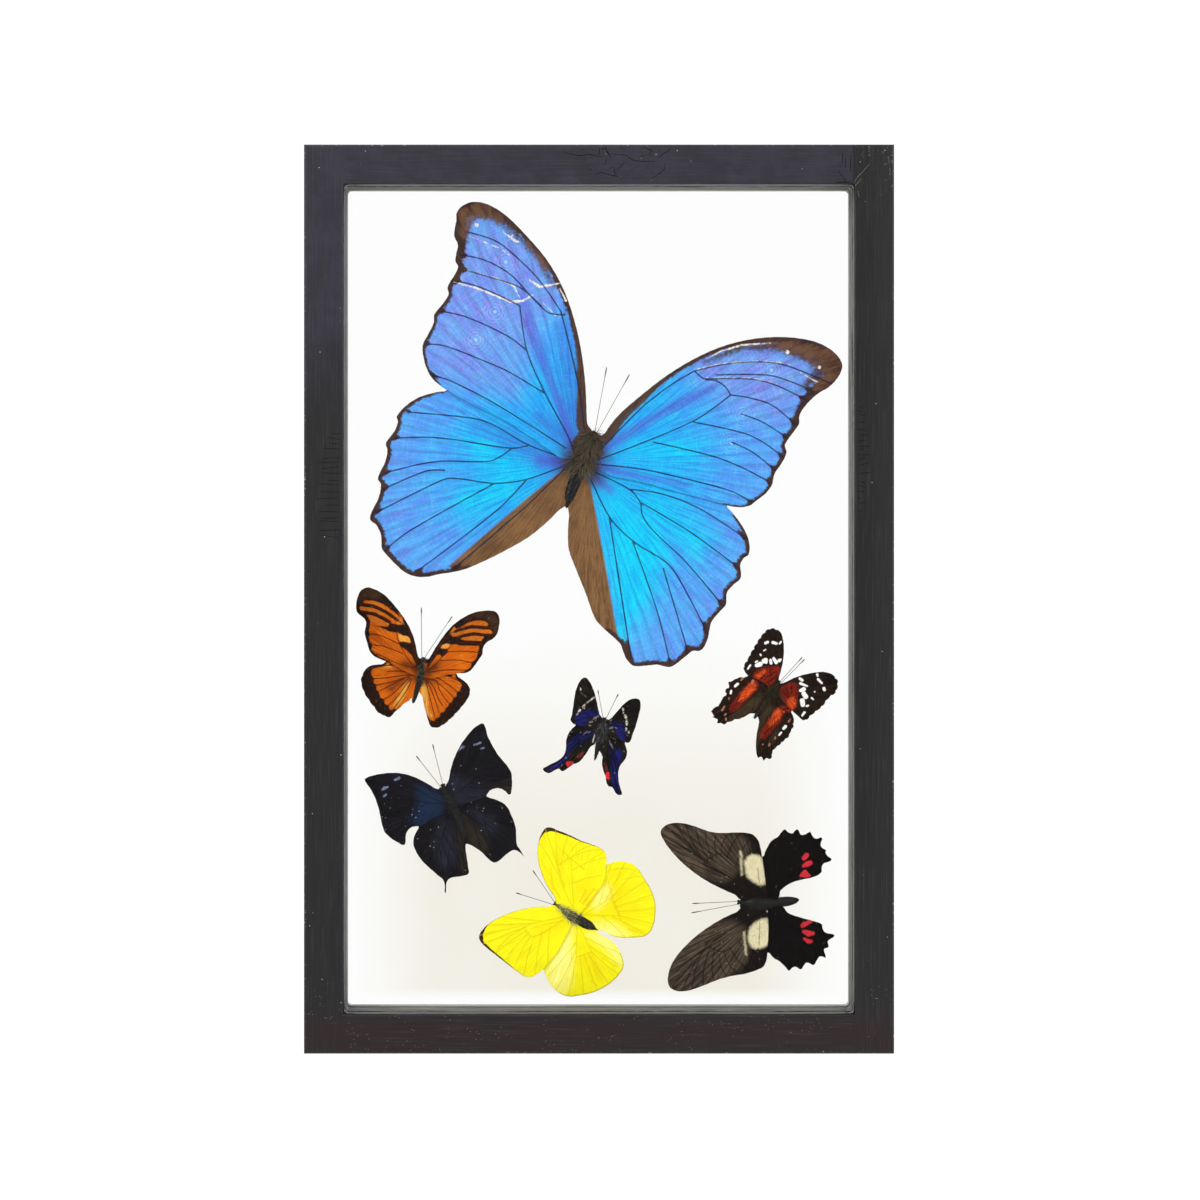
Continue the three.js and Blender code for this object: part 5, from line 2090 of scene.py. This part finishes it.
def yellow_sulphur() -> Butterfly:
    """Describe the lemon yellow butterfly with fine brown wingtips.

    Returns:
        The butterfly.
    """
    fore_left = WingMarks(
        hinge=(770, 800),
        veins=fan((770, 800), ((430, 870), (500, 960)), "240,800 140,870 85,950 110,1020 190,1100 "
            "270,1160 350,1215 430,1265 520,1255 620,1190"),
        strokes={
            "gold": "220,1060,4 330,950,3 480,865,3 / 600,1190,3 680,1110,3 740,1020,3 / 740,835,4 "
                "600,865,3 480,900,2",
            "warm": "760,830,30 560,940,60",
        },
        borders={
            "edge": "140,865,5 88,940,26 80,970,32 95,1005,21 350,1220,3",
            "rim": "600,732,1 400,742,3 250,795,4 150,860,6 80,970,8 250,1140,6 350,1220,5 450,1275,4",
        },
    )
    fore_right = WingMarks(
        hinge=(820, 745),
        veins=fan((820, 745), ((700, 420), (800, 340)), "560,230 600,120 680,120 780,160 880,210 980,240 "
            "1060,280 1075,340 1040,480"),
        strokes={
            "gold": "735,285,3 790,345,3 905,435,4 / 640,420,3 660,560,3 710,650,4 / 690,240,2 740,330,2 "
                "/ 1040,310,3 930,370,2 / 660,600,3 640,510,2",
            "glow": "895,700,8 980,585,5 / 870,690,5 920,590,4 / 925,710,5 1000,615,4 / 995,602,4 "
                "1022,600,4",
            "warm": "880,600,40 960,480,30",
        },
        borders={
            "edge": "548,200,5 578,128,18 600,106,34 625,103,32 700,127,17 880,212,7 990,245,3",
            "rim": "535,300,2 550,190,5 600,106,8 990,245,5 1060,285,3 / 535,300,2 560,440,5 620,590,6 "
                "690,700,5",
        },
    )
    hind_left = WingMarks(
        hinge=(850, 850),
        veins=fan((850, 850), ((840, 1120), (960, 1080)), "620,1270 680,1390 780,1430 900,1420 1010,1395 "
            "1110,1345 1190,1270 1215,1200 1160,1080"),
        strokes={
            "gold": "960,1180,3 985,1180,3 995,1165,3 1012,1165,2 / 1040,1130,3 1160,1200,2 / 805,1090,3 "
                "805,1140,3 / 960,1310,3 1010,1350,3",
            "warm": "940,1150,90 1000,1230,70",
        },
        borders={
            "rim": "1175,1100,4 1216,1210,6 1180,1275,7 1100,1350,7 1000,1402,7 900,1427,7 780,1436,6 "
                "700,1412,4",
        },
        patches={
            "pale": "620,1200 800,900 800,1300 740,1420 650,1350 / 930,940 1050,950 1170,1090 1190,1180 "
                "1080,1060",
        },
    )
    hind_right = WingMarks(
        hinge=(900, 790),
        veins=fan((900, 790), ((1110, 660), (1180, 800)), "1110,400 1220,385 1320,420 1390,520 1440,630 "
            "1460,740 1440,860 1400,950 1230,970"),
        strokes={
            "gold": "1090,520,3 1115,620,4 1190,830,3 / 1110,440,4 1200,425,4 1290,440,2 / 1200,520,3 "
                "1300,490,3 1370,495,2 / 1250,900,4 1320,925,3",
            "warm": "1160,560,70 1200,760,90 / 1100,770,30 950,775,20",
        },
        borders={
            "rim": "1330,440,3 1400,540,5 1442,640,6 1460,740,7 1442,850,7 1400,950,7 1330,968,6 "
                "1200,975,5 1100,955,2",
        },
        patches={
            "pale": "960,640 1080,560 1100,640 1000,740 / 1000,850 1150,880 1250,950 1100,950 1010,920",
        },
    )
    layers = (
        Layer("warm", "f0e002", 6.0, 1.2, 0.7, stage=Stage.UNDER),
        Layer("pale", "fffca0", 5.0, 1.5, 0.75, stage=Stage.UNDER),
        Layer("gold", "d8b400", 0.5, 0.2, 0.7, worn=0.1),
        Layer("glow", "f2a80c", 0.7, 0.35, 0.7, worn=0.1),
        Layer("rim", "a8944a", 0.4, 0.12, 0.8, worn=0.2),
        Layer("edge", "3a2a10", 0.25, 0.3, 1.0),
    )
    under = (Layer("edge", "8a7a3a", 0.3, 0.1, 0.8), Layer("rim", "b3a04e", 0.35, 0.06, 0.6))
    return Butterfly(
        name="yellow_sulphur", grid=SULPHUR_GRID,
        rings="672,704,0 680,710,22 700,722,32 722,738,30 760,765,46 800,795,54 840,818,52 870,835,46 "
            "905,856,47 945,876,43 980,896,31 1005,910,15 1014,916,0",
        antennae="675,700 502,445 / 655,712 370,620",
        wings=(hind_left, hind_right, fore_left, fore_right),
        fore_scales=WingScales(
            "lemon_scales", "f4ee14", "e2d000", layers, light="faf65c", vein="ccb406", vein_width=0.26,
            vein_cover=0.5, streak=0.6, speckle=0.04, roughness=0.7, specular=0.1, relief=0.45),
        under_scales=WingScales("lemon_under_scales", "f2ee6a", "e6dc40", under, vein="d8cc50",
                                roughness=0.65, specular=0.25),
        skin=Cuticle("sulphur_cuticle", "14130f", "3a3a2c", 0.45),
        fur=Fur("sulphur_fur", "4a4620", "fffab4"), hairs=2600, hair_length=1.4, pitch=0.26, seed=61,
    )


def red_spot_swallowtail() -> Butterfly:
    """Describe the black butterfly with a cream patch on each forewing and red spots on each hindwing.

    Returns:
        The butterfly.
    """
    upper_ends = "95,200 125,135 200,112 290,120 370,145 450,170 540,192 640,190 740,188 830,205 888,300"
    lower_ends = ("150,1350 180,1430 260,1462 340,1450 430,1425 520,1395 620,1350 720,1330 820,1305 "
        "905,1275 945,1180")
    fore_right = WingMarks(
        hinge=(925, 690),
        veins=fan((925, 690), ((430, 440), (590, 360)), upper_ends),
        strokes={
            "cream": "732,345,5 741,520,5",
            "dark": "868,470,3 882,590,4",
        },
        patches={
            "cream": "765,440 775,400 800,374 850,368 900,390 932,600 900,612 820,575 780,530",
            "smoke": "60,100 520,160 760,230 800,330 640,560 460,560 300,480 150,350",
        },
    )
    fore_left = WingMarks(
        hinge=(925, 820),
        veins=fan((925, 820), ((440, 1070), (610, 1140)), lower_ends),
        strokes={
            "cream": "760,990,4 775,1165,3",
            "dark": "885,905,3 880,1090,4",
        },
        patches={
            "cream": "800,970 830,925 880,890 945,878 952,1080 860,1122 825,1110 795,1060",
            "smoke": "100,1400 200,1150 400,960 640,900 770,960 780,1200 640,1340 400,1460 200,1500",
        },
    )
    hind_right = WingMarks(
        hinge=(960, 710),
        veins=fan((960, 710), ((1060, 420), (1170, 480)), "990,240 1090,180 1190,170 1290,190 1380,235 "
            "1415,320 1460,395 1385,490 1200,560"),
        strokes={
            "red": "1242,395,18 1262,372,20 / 1238,458,12 1270,442,22 1292,432,18 / 1215,535,10 "
                "1248,510,20 1285,535,11 / 1230,535,12 1270,542,10",
        },
    )
    hind_left = WingMarks(
        hinge=(960, 810),
        veins=fan((960, 800), ((1070, 1010), (1190, 990)), "960,1150 1040,1230 1120,1295 1230,1285 "
            "1330,1250 1420,1190 1450,1105 1480,1030 1385,930"),
        strokes={
            "red": "1232,935,18 1295,902,16 / 1240,985,14 1280,1000,24 1315,998,14 / 1245,1042,10 "
                "1275,1062,18 1300,1062,14 / 1240,910,8",
        },
    )
    layers = (
        Layer("smoke", "5c4e40", 3.5, 0.8, 0.85, 0.2, stage=Stage.UNDER),
        Layer("cream", "ece2b8", 1.3, 0.9, 0.97, 0.15, stage=Stage.TOP, worn=0.35),
        Layer("dark", "3a3020", 0.3, 0.15, 0.7, stage=Stage.TOP),
    )
    hind = (Layer("red", "d83440", 0.5, 0.35, 0.95, 0.15, stage=Stage.TOP, worn=0.4),)
    under = (Layer("cream", "d8cfa0", 0.7, 0.2, 0.9), Layer("red", "c83c44", 0.4, 0.15, 0.9))
    return Butterfly(
        name="red_spot_swallowtail", grid=SWALLOWTAIL_GRID,
        rings="722,753,0 730,753,24 752,755,36 775,757,38 810,760,56 860,762,62 920,762,58 970,760,46 "
            "1010,757,38 1060,750,42 1120,744,40 1170,738,28 1197,733,14 1206,731,0",
        antennae="725,745 345,760 / 730,765 340,835",
        wings=(hind_left, hind_right, fore_left, fore_right),
        fore_scales=WingScales(
            "swallowtail_scales", "1c1410", "0a0605", layers, light="30261e", vein="070403", vein_width=0.3,
            vein_cover=0.7, streak=0.9, pleats=96.0, pleat_cover=0.75, speckle=0.5, specks=0.5,
            specular=0.06),
        hind_scales=WingScales(
            "swallowtail_hind_scales", "0c0707", "050303", hind, light="171011", vein="030202",
            vein_width=0.24,
            vein_cover=0.8, streak=0.8, specks=0.3, roughness=0.65, specular=0.06),
        under_scales=WingScales("swallowtail_under_scales", "262019", "17120e", under, vein="100c0a"),
        skin=Cuticle("swallowtail_cuticle", "060606", "1c1b1a", 0.35),
        fur=Fur("swallowtail_fur", "070706", "3c3934"), hairs=1500, hair_length=0.9, pitch=0.26, seed=71,
    )


# ---- Frame, panes and hanger ---------------------------------------------------------------


@dataclass
class Moulding:
    """One painted moulding: the plain one with its sharp corners eased, and its mitres tightly shut."""

    node: str
    paint: bpy.types.Material
    ease: float = 0.22 * MM
    crease: float = math.radians(40)

    def build(self) -> None:
        """Model the moulding and hand it to the frame."""
        piece = merged_copy(self.node, self.node + "_painted")
        self._shut_mitres(piece.data)
        self._weigh_edges(piece.data)
        shaped(piece, "eased", "BEVEL", width=self.ease, segments=3, limit_method="WEIGHT")
        bpy.ops.object.shade_smooth_by_angle(angle=self.crease)
        shaped(piece, "flat_faces", "WEIGHTED_NORMAL", keep_sharp=True)
        dressed(piece, self.paint)
        settle(piece, "frame_paint", self.node)

    def _shut_mitres(self, mesh: bpy.types.Mesh) -> None:
        """Draw both ends of the moulding out until they meet the next ones.

        Args:
            mesh: The moulding's mesh.
        """
        axis, middle = (0, 0.0) if self.node.startswith("rail") else (2, FRAME_CENTRE_Z)
        for vertex in mesh.vertices:
            gap = abs(self._off_mitre(vertex.co))
            if gap < 0.5 * MM:
                vertex.co[axis] += math.copysign(gap, vertex.co[axis] - middle)

    def _weigh_edges(self, mesh: bpy.types.Mesh) -> None:
        """Mark each sharp edge to be eased, apart from those of the mitres.

        Args:
            mesh: The moulding's mesh.
        """
        work = bmesh.new()
        work.from_mesh(mesh)
        weight = work.edges.layers.float.new("bevel_weight_edge")
        for edge in work.edges:
            if len(edge.link_faces) == 2 and edge.calc_face_angle(0.0) > self.crease:
                on_mitre = all(abs(self._off_mitre(vertex.co)) < 0.02 * MM for vertex in edge.verts)
                edge[weight] = 0.0 if on_mitre else 1.0
        work.to_mesh(mesh)
        work.free()

    def _off_mitre(self, place: Vector) -> float:
        """Return how much nearer a place is to the rail's outer edge than to the stile's."""
        return FRAME_WIDTH / 2 - abs(place.x) - FRAME_HEIGHT / 2 + abs(place.z - FRAME_CENTRE_Z)


def build_fillets(paint: bpy.types.Material) -> None:
    """Add the paint that has gathered in the four corners of the opening.

    Args:
        paint: The paint of the mouldings.
    """
    radius, bite = 1.5 * MM, 0.05 * MM
    across, tall = FRAME_WIDTH / 2 - FACE_WIDTH, FRAME_HEIGHT / 2 - FACE_WIDTH
    work = bmesh.new()
    for right, upper in ((-1, -1), (-1, 1), (1, 1), (1, -1)):
        turns = [math.pi / 2 * k / 8 for k in range(9)]
        arc = [(across - radius * (1 - math.cos(t)), tall - radius * (1 - math.sin(t))) for t in turns]
        shape = [(across + bite, tall + bite), (across + bite, tall - radius), *arc,
                 (across - radius, tall + bite)]
        # One length stands before the panes, one between them and one behind them.
        for front, back in ((-19.4, -16.1), (-13.9, -5.1), (-2.9, -0.1)):
            low = [work.verts.new((right * x, back * MM, FRAME_CENTRE_Z + upper * z)) for x, z in shape]
            made = bmesh.ops.extrude_face_region(work, geom=[work.faces.new(low)])
            moved = [v for v in made["geom"] if isinstance(v, bmesh.types.BMVert)]
            bmesh.ops.translate(work, verts=moved, vec=(0, (front - back) * MM, 0))
    bmesh.ops.recalc_face_normals(work, faces=work.faces)
    mesh = bpy.data.meshes.new("paint_fillets")
    work.to_mesh(mesh)
    work.free()
    fillets = placed("paint_fillets", mesh)
    alone(fillets)
    bpy.ops.object.shade_smooth_by_angle(angle=math.radians(40))
    mesh.materials.append(paint)
    settle(fillets, "frame_paint")


def merged_copy(node: str, name: str) -> bpy.types.Object:
    """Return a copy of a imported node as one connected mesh, selected and active.

    Args:
        node: The node to copy.
        name: The name of the copy.

    Returns:
        The copy.
    """
    piece = placed(name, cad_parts[node].data.copy())
    piece.data.name = name
    alone(piece)
    bpy.ops.object.mode_set(mode="EDIT")
    bpy.ops.mesh.select_all(action="SELECT")
    bpy.ops.mesh.remove_doubles(threshold=0.002 * MM)
    bpy.ops.mesh.dissolve_limited(angle_limit=math.radians(0.5))
    bpy.ops.object.mode_set(mode="OBJECT")
    return piece


@dataclass
class PaintMarks:
    """Fine lines on the face of the frame, in mm across and down from the middle of its top edge."""

    name: str
    flaw: PaintFlaw
    lines: list[Path]
    half: float = 0.12
    proud: float = 0.035

    def build(self) -> None:
        """Sweep the lines over the face of the frame and hand them to it."""
        face, top = FRAME_DEPTH / MM, (FRAME_CENTRE_Z + FRAME_HEIGHT / 2) / MM
        lines = []
        for path in self.lines:
            line = smooth_line(np.array(path, float), 0.4, False)
            half = self.half * np.sin(np.pi * (np.arange(len(line)) + 0.5) / len(line)) ** 0.5
            depth = half * (1 - self.proud / self.half) - face
            lines.append((_deep(line * (1, -1) + (0, top), depth), half))
        marks = swept(self.name, lines)
        bpy.ops.object.shade_smooth()
        dressed(marks, self.flaw.material())
        settle(marks, "frame_paint")


def build_marks() -> None:
    """Add the wrinkles of the top rail, the planer's marks on the stiles, and the scratches."""
    wrinkles = drawn("-12.1,2.5 -9.7,3.2 -7,3.8 -3.5,3.5 -1.5,3.7 .6,4.2 2.3,4.2 / .2,1 .1,3.5 / .6,1.5 "
        "2.6,1.5 / 1.9,.8 3.7,4 / 2.3,2.2 4,4.4 / 1.1,1.5 .9,2.8 / 2.6,4.6 2.2,5.8 1.8,7 / 3.7,3.2 "
        "6.1,3.5 8.8,3.7 10.2,4.6 10.9,5.1 12.9,5.6 17.7,5.8 19.4,5.6 / 19.4,4.6 21.1,3.5 23.2,2.2 "
        "24.2,1.1 / 14.6,1 16.3,1.6 18.1,2.3 / 22,6.3 22.2,7.3 21.5,8.7 20.1,9.9 18.4,11.1 17.4,11.9 / "
        "5,7.6 5.2,9 5.4,10 / 8.5,6.3 7.1,7.6 6.1,8.7 / -1.5,10.2 .6,9.5 2.3,9.9 4,10.4 5.7,10.6 7.1,10.9 "
        "/ 81.6,3 81.5,6.5 / 82.6,4.5 82.5,8 / 84.4,2 84.3,9.5 / 80.2,9 83,12.6 / 79,12.9 84.6,12.6")
    PaintMarks("paint_cracks", PaintFlaw("crack_black", "020203"), wrinkles, 0.14, 0.05).build()
    chance = np.random.default_rng(3)
    chatter = []
    stretch = 36
    for side, start in ((-1, 97.0), (1, 88.0)):
        down = start
        while down < start + stretch:
            near = 86.3 + 1.2 * chance.random()
            far = near + (8.5 if side < 0 else 4.5) * (0.25 + 0.75 * chance.random())
            chatter.append([(side * near, down), (side * far, down + 0.4 * chance.normal())])
            down += 1.0 + 1.8 * chance.random()
    PaintMarks("planer_marks", PaintFlaw("mark_black", "060607"), chatter, 0.12, 0.04).build()
    scratches = drawn("85.3,13.4 86.4,11.3 88.3,9.3 90.6,6.6 / 85.8,13.9 88,11.5 / 86.6,15.6 87.2,17.6 / "
        "2,2.9 2.6,3.5 / 3.1,3.1 3.6,3.7 / .7,2.2 1.1,2.7 / 13.9,4.5 14.3,4.9 / 7,10.6 7.4,11 / 17.3,12.2 "
        "18,11.8 / -92.3,292.8 -91.2,292.9 / 88.9,19 89.4,19.3 / 92.5,286.4 93.7,286.3 / 96.9,4 97.3,6.4 "
        "/ 97.4,8 97.6,9.6 / 94.6,2.4 95.2,2.8")
    PaintMarks("paint_scratches", PaintFlaw("bare_filler", "7d7a75"), scratches, 0.08).build()


def build_hanger() -> None:
    """Ease the edges of the toothed hanger and its nails and give them their finish."""
    steel = BrassedSteel().material()
    for node in ("sawtooth_hanger", "hanger_nail_left", "hanger_nail_right"):
        piece = merged_copy(node, node + "_steel")
        crease = math.radians(35)
        shaped(piece, "eased", "BEVEL", width=0.08 * MM, segments=2, limit_method="ANGLE",
               angle_limit=crease)
        bpy.ops.object.shade_smooth_by_angle(angle=crease)
        dressed(piece, steel)
        settle(piece, "brassed_steel", node)


def build_panes() -> None:
    """Give both panes their glass."""
    for node in ("glass_front", "glass_back"):
        glass = ClearGlass(node + "_clear", film=1.0 if node == "glass_back" else 0.0)
        dressed(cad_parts[node], glass.material())
        log.info("%s dressed", node)


def build_frame() -> None:
    """Build the four mouldings, the marks and fillets of their paint, the panes and the hanger."""
    paint = BlackPaint().material()
    for node in ("rail_top", "rail_bottom", "stile_left", "stile_right"):
        Moulding(node, paint).build()
    build_fillets(paint)
    build_marks()
    build_panes()
    build_hanger()


# ---- Studio --------------------------------------------------------------------------------


def set_camera() -> None:
    """Place the camera in front of the frame, a little up and to the left, with its lens shifted back."""
    data = bpy.data.cameras.new("camera")
    data.sensor_width, data.lens = 36, 89.5
    data.shift_x, data.shift_y = 0.0455, -0.0554
    camera = placed("camera", data)
    camera.location = (-18 * MM, -1020 * MM, FRAME_CENTRE_Z + 22 * MM)
    camera.rotation_euler = (math.pi / 2, 0, 0)
    bpy.context.scene.camera = camera


def set_world() -> None:
    """Surround the frame with soft white light that is dim straight in front, as before a dark card."""
    world = bpy.data.worlds.new("studio")
    bpy.context.scene.world = world
    nodes = Nodes(world)
    way = nodes.add("ShaderNodeTexCoord").outputs["Generated"]
    along = nodes.add("ShaderNodeSeparateXYZ", {}, {0: way}).outputs["Y"]
    # The card straight ahead is a tenth as bright as the walls of the studio.
    span = {"Value": along, "From Min": -0.985, "From Max": -0.93, "To Min": 0.12, "To Max": 1.15}
    around = nodes.add("ShaderNodeMapRange", {"interpolation_type": "SMOOTHSTEP"}, span)
    direct = nodes.add("ShaderNodeLightPath").outputs["Is Camera Ray"]
    level = nodes.add("ShaderNodeMix", {}, {"Factor": direct, "A": around.outputs["Result"], "B": 1.08})
    sky = {"Color": (1, 1, 1, 1), "Strength": level.outputs["Result"]}
    light = nodes.add("ShaderNodeBackground", {}, sky)
    nodes.add("ShaderNodeOutputWorld", {}, {"Surface": light.outputs[0]})


def add_lamp(name: str, place: tuple[float, float, float], size: float, power: float) -> None:
    """Add one square soft lamp that faces the middle of the frame.

    Args:
        name: Its name.
        place: Where it stands.
        size: The length of its side.
        power: Its watts.
    """
    data = bpy.data.lights.new(name, "AREA")
    data.size = size
    data.energy = power
    lamp = placed(name, data)
    lamp.location = place
    aim = Vector((0, 0, FRAME_CENTRE_Z)) - Vector(place)
    lamp.rotation_euler = aim.to_track_quat("-Z", "Y").to_euler()


def set_studio() -> None:
    """Add the lamps and the plain pale floor far below."""
    add_lamp("key", (-1.1, -1.3, 0.9), 0.9, 24)
    add_lamp("fill", (1.2, -1.4, 0.2), 1.2, 9)
    bpy.ops.object.select_all(action="DESELECT")
    bpy.ops.mesh.primitive_plane_add(size=4.0, location=(0, 0, -1.3))
    floor = bpy.context.active_object
    floor.name = "floor"
    nodes = Nodes("floor_paint")
    tone = nodes.blend(nodes.noise(3, 3), "f2f0ec", "e9e7e2")
    floor.data.materials.append(nodes.surface(Base_Color=tone, Roughness=0.8))
    bpy.context.scene.view_settings.view_transform = "Standard"


def main() -> None:
    """Build the frame, the panes and the seven butterflies in order."""
    logging.basicConfig(level=logging.INFO, format="%(message)s")
    set_camera()
    set_world()
    set_studio()
    build_frame()
    for kind in (blue_morpho, banded_orange, blue_metalmark, scarlet_peacock, black_leafwing,
                 yellow_sulphur, red_spot_swallowtail):
        kind().build()


if __name__ == "__main__":
    main()
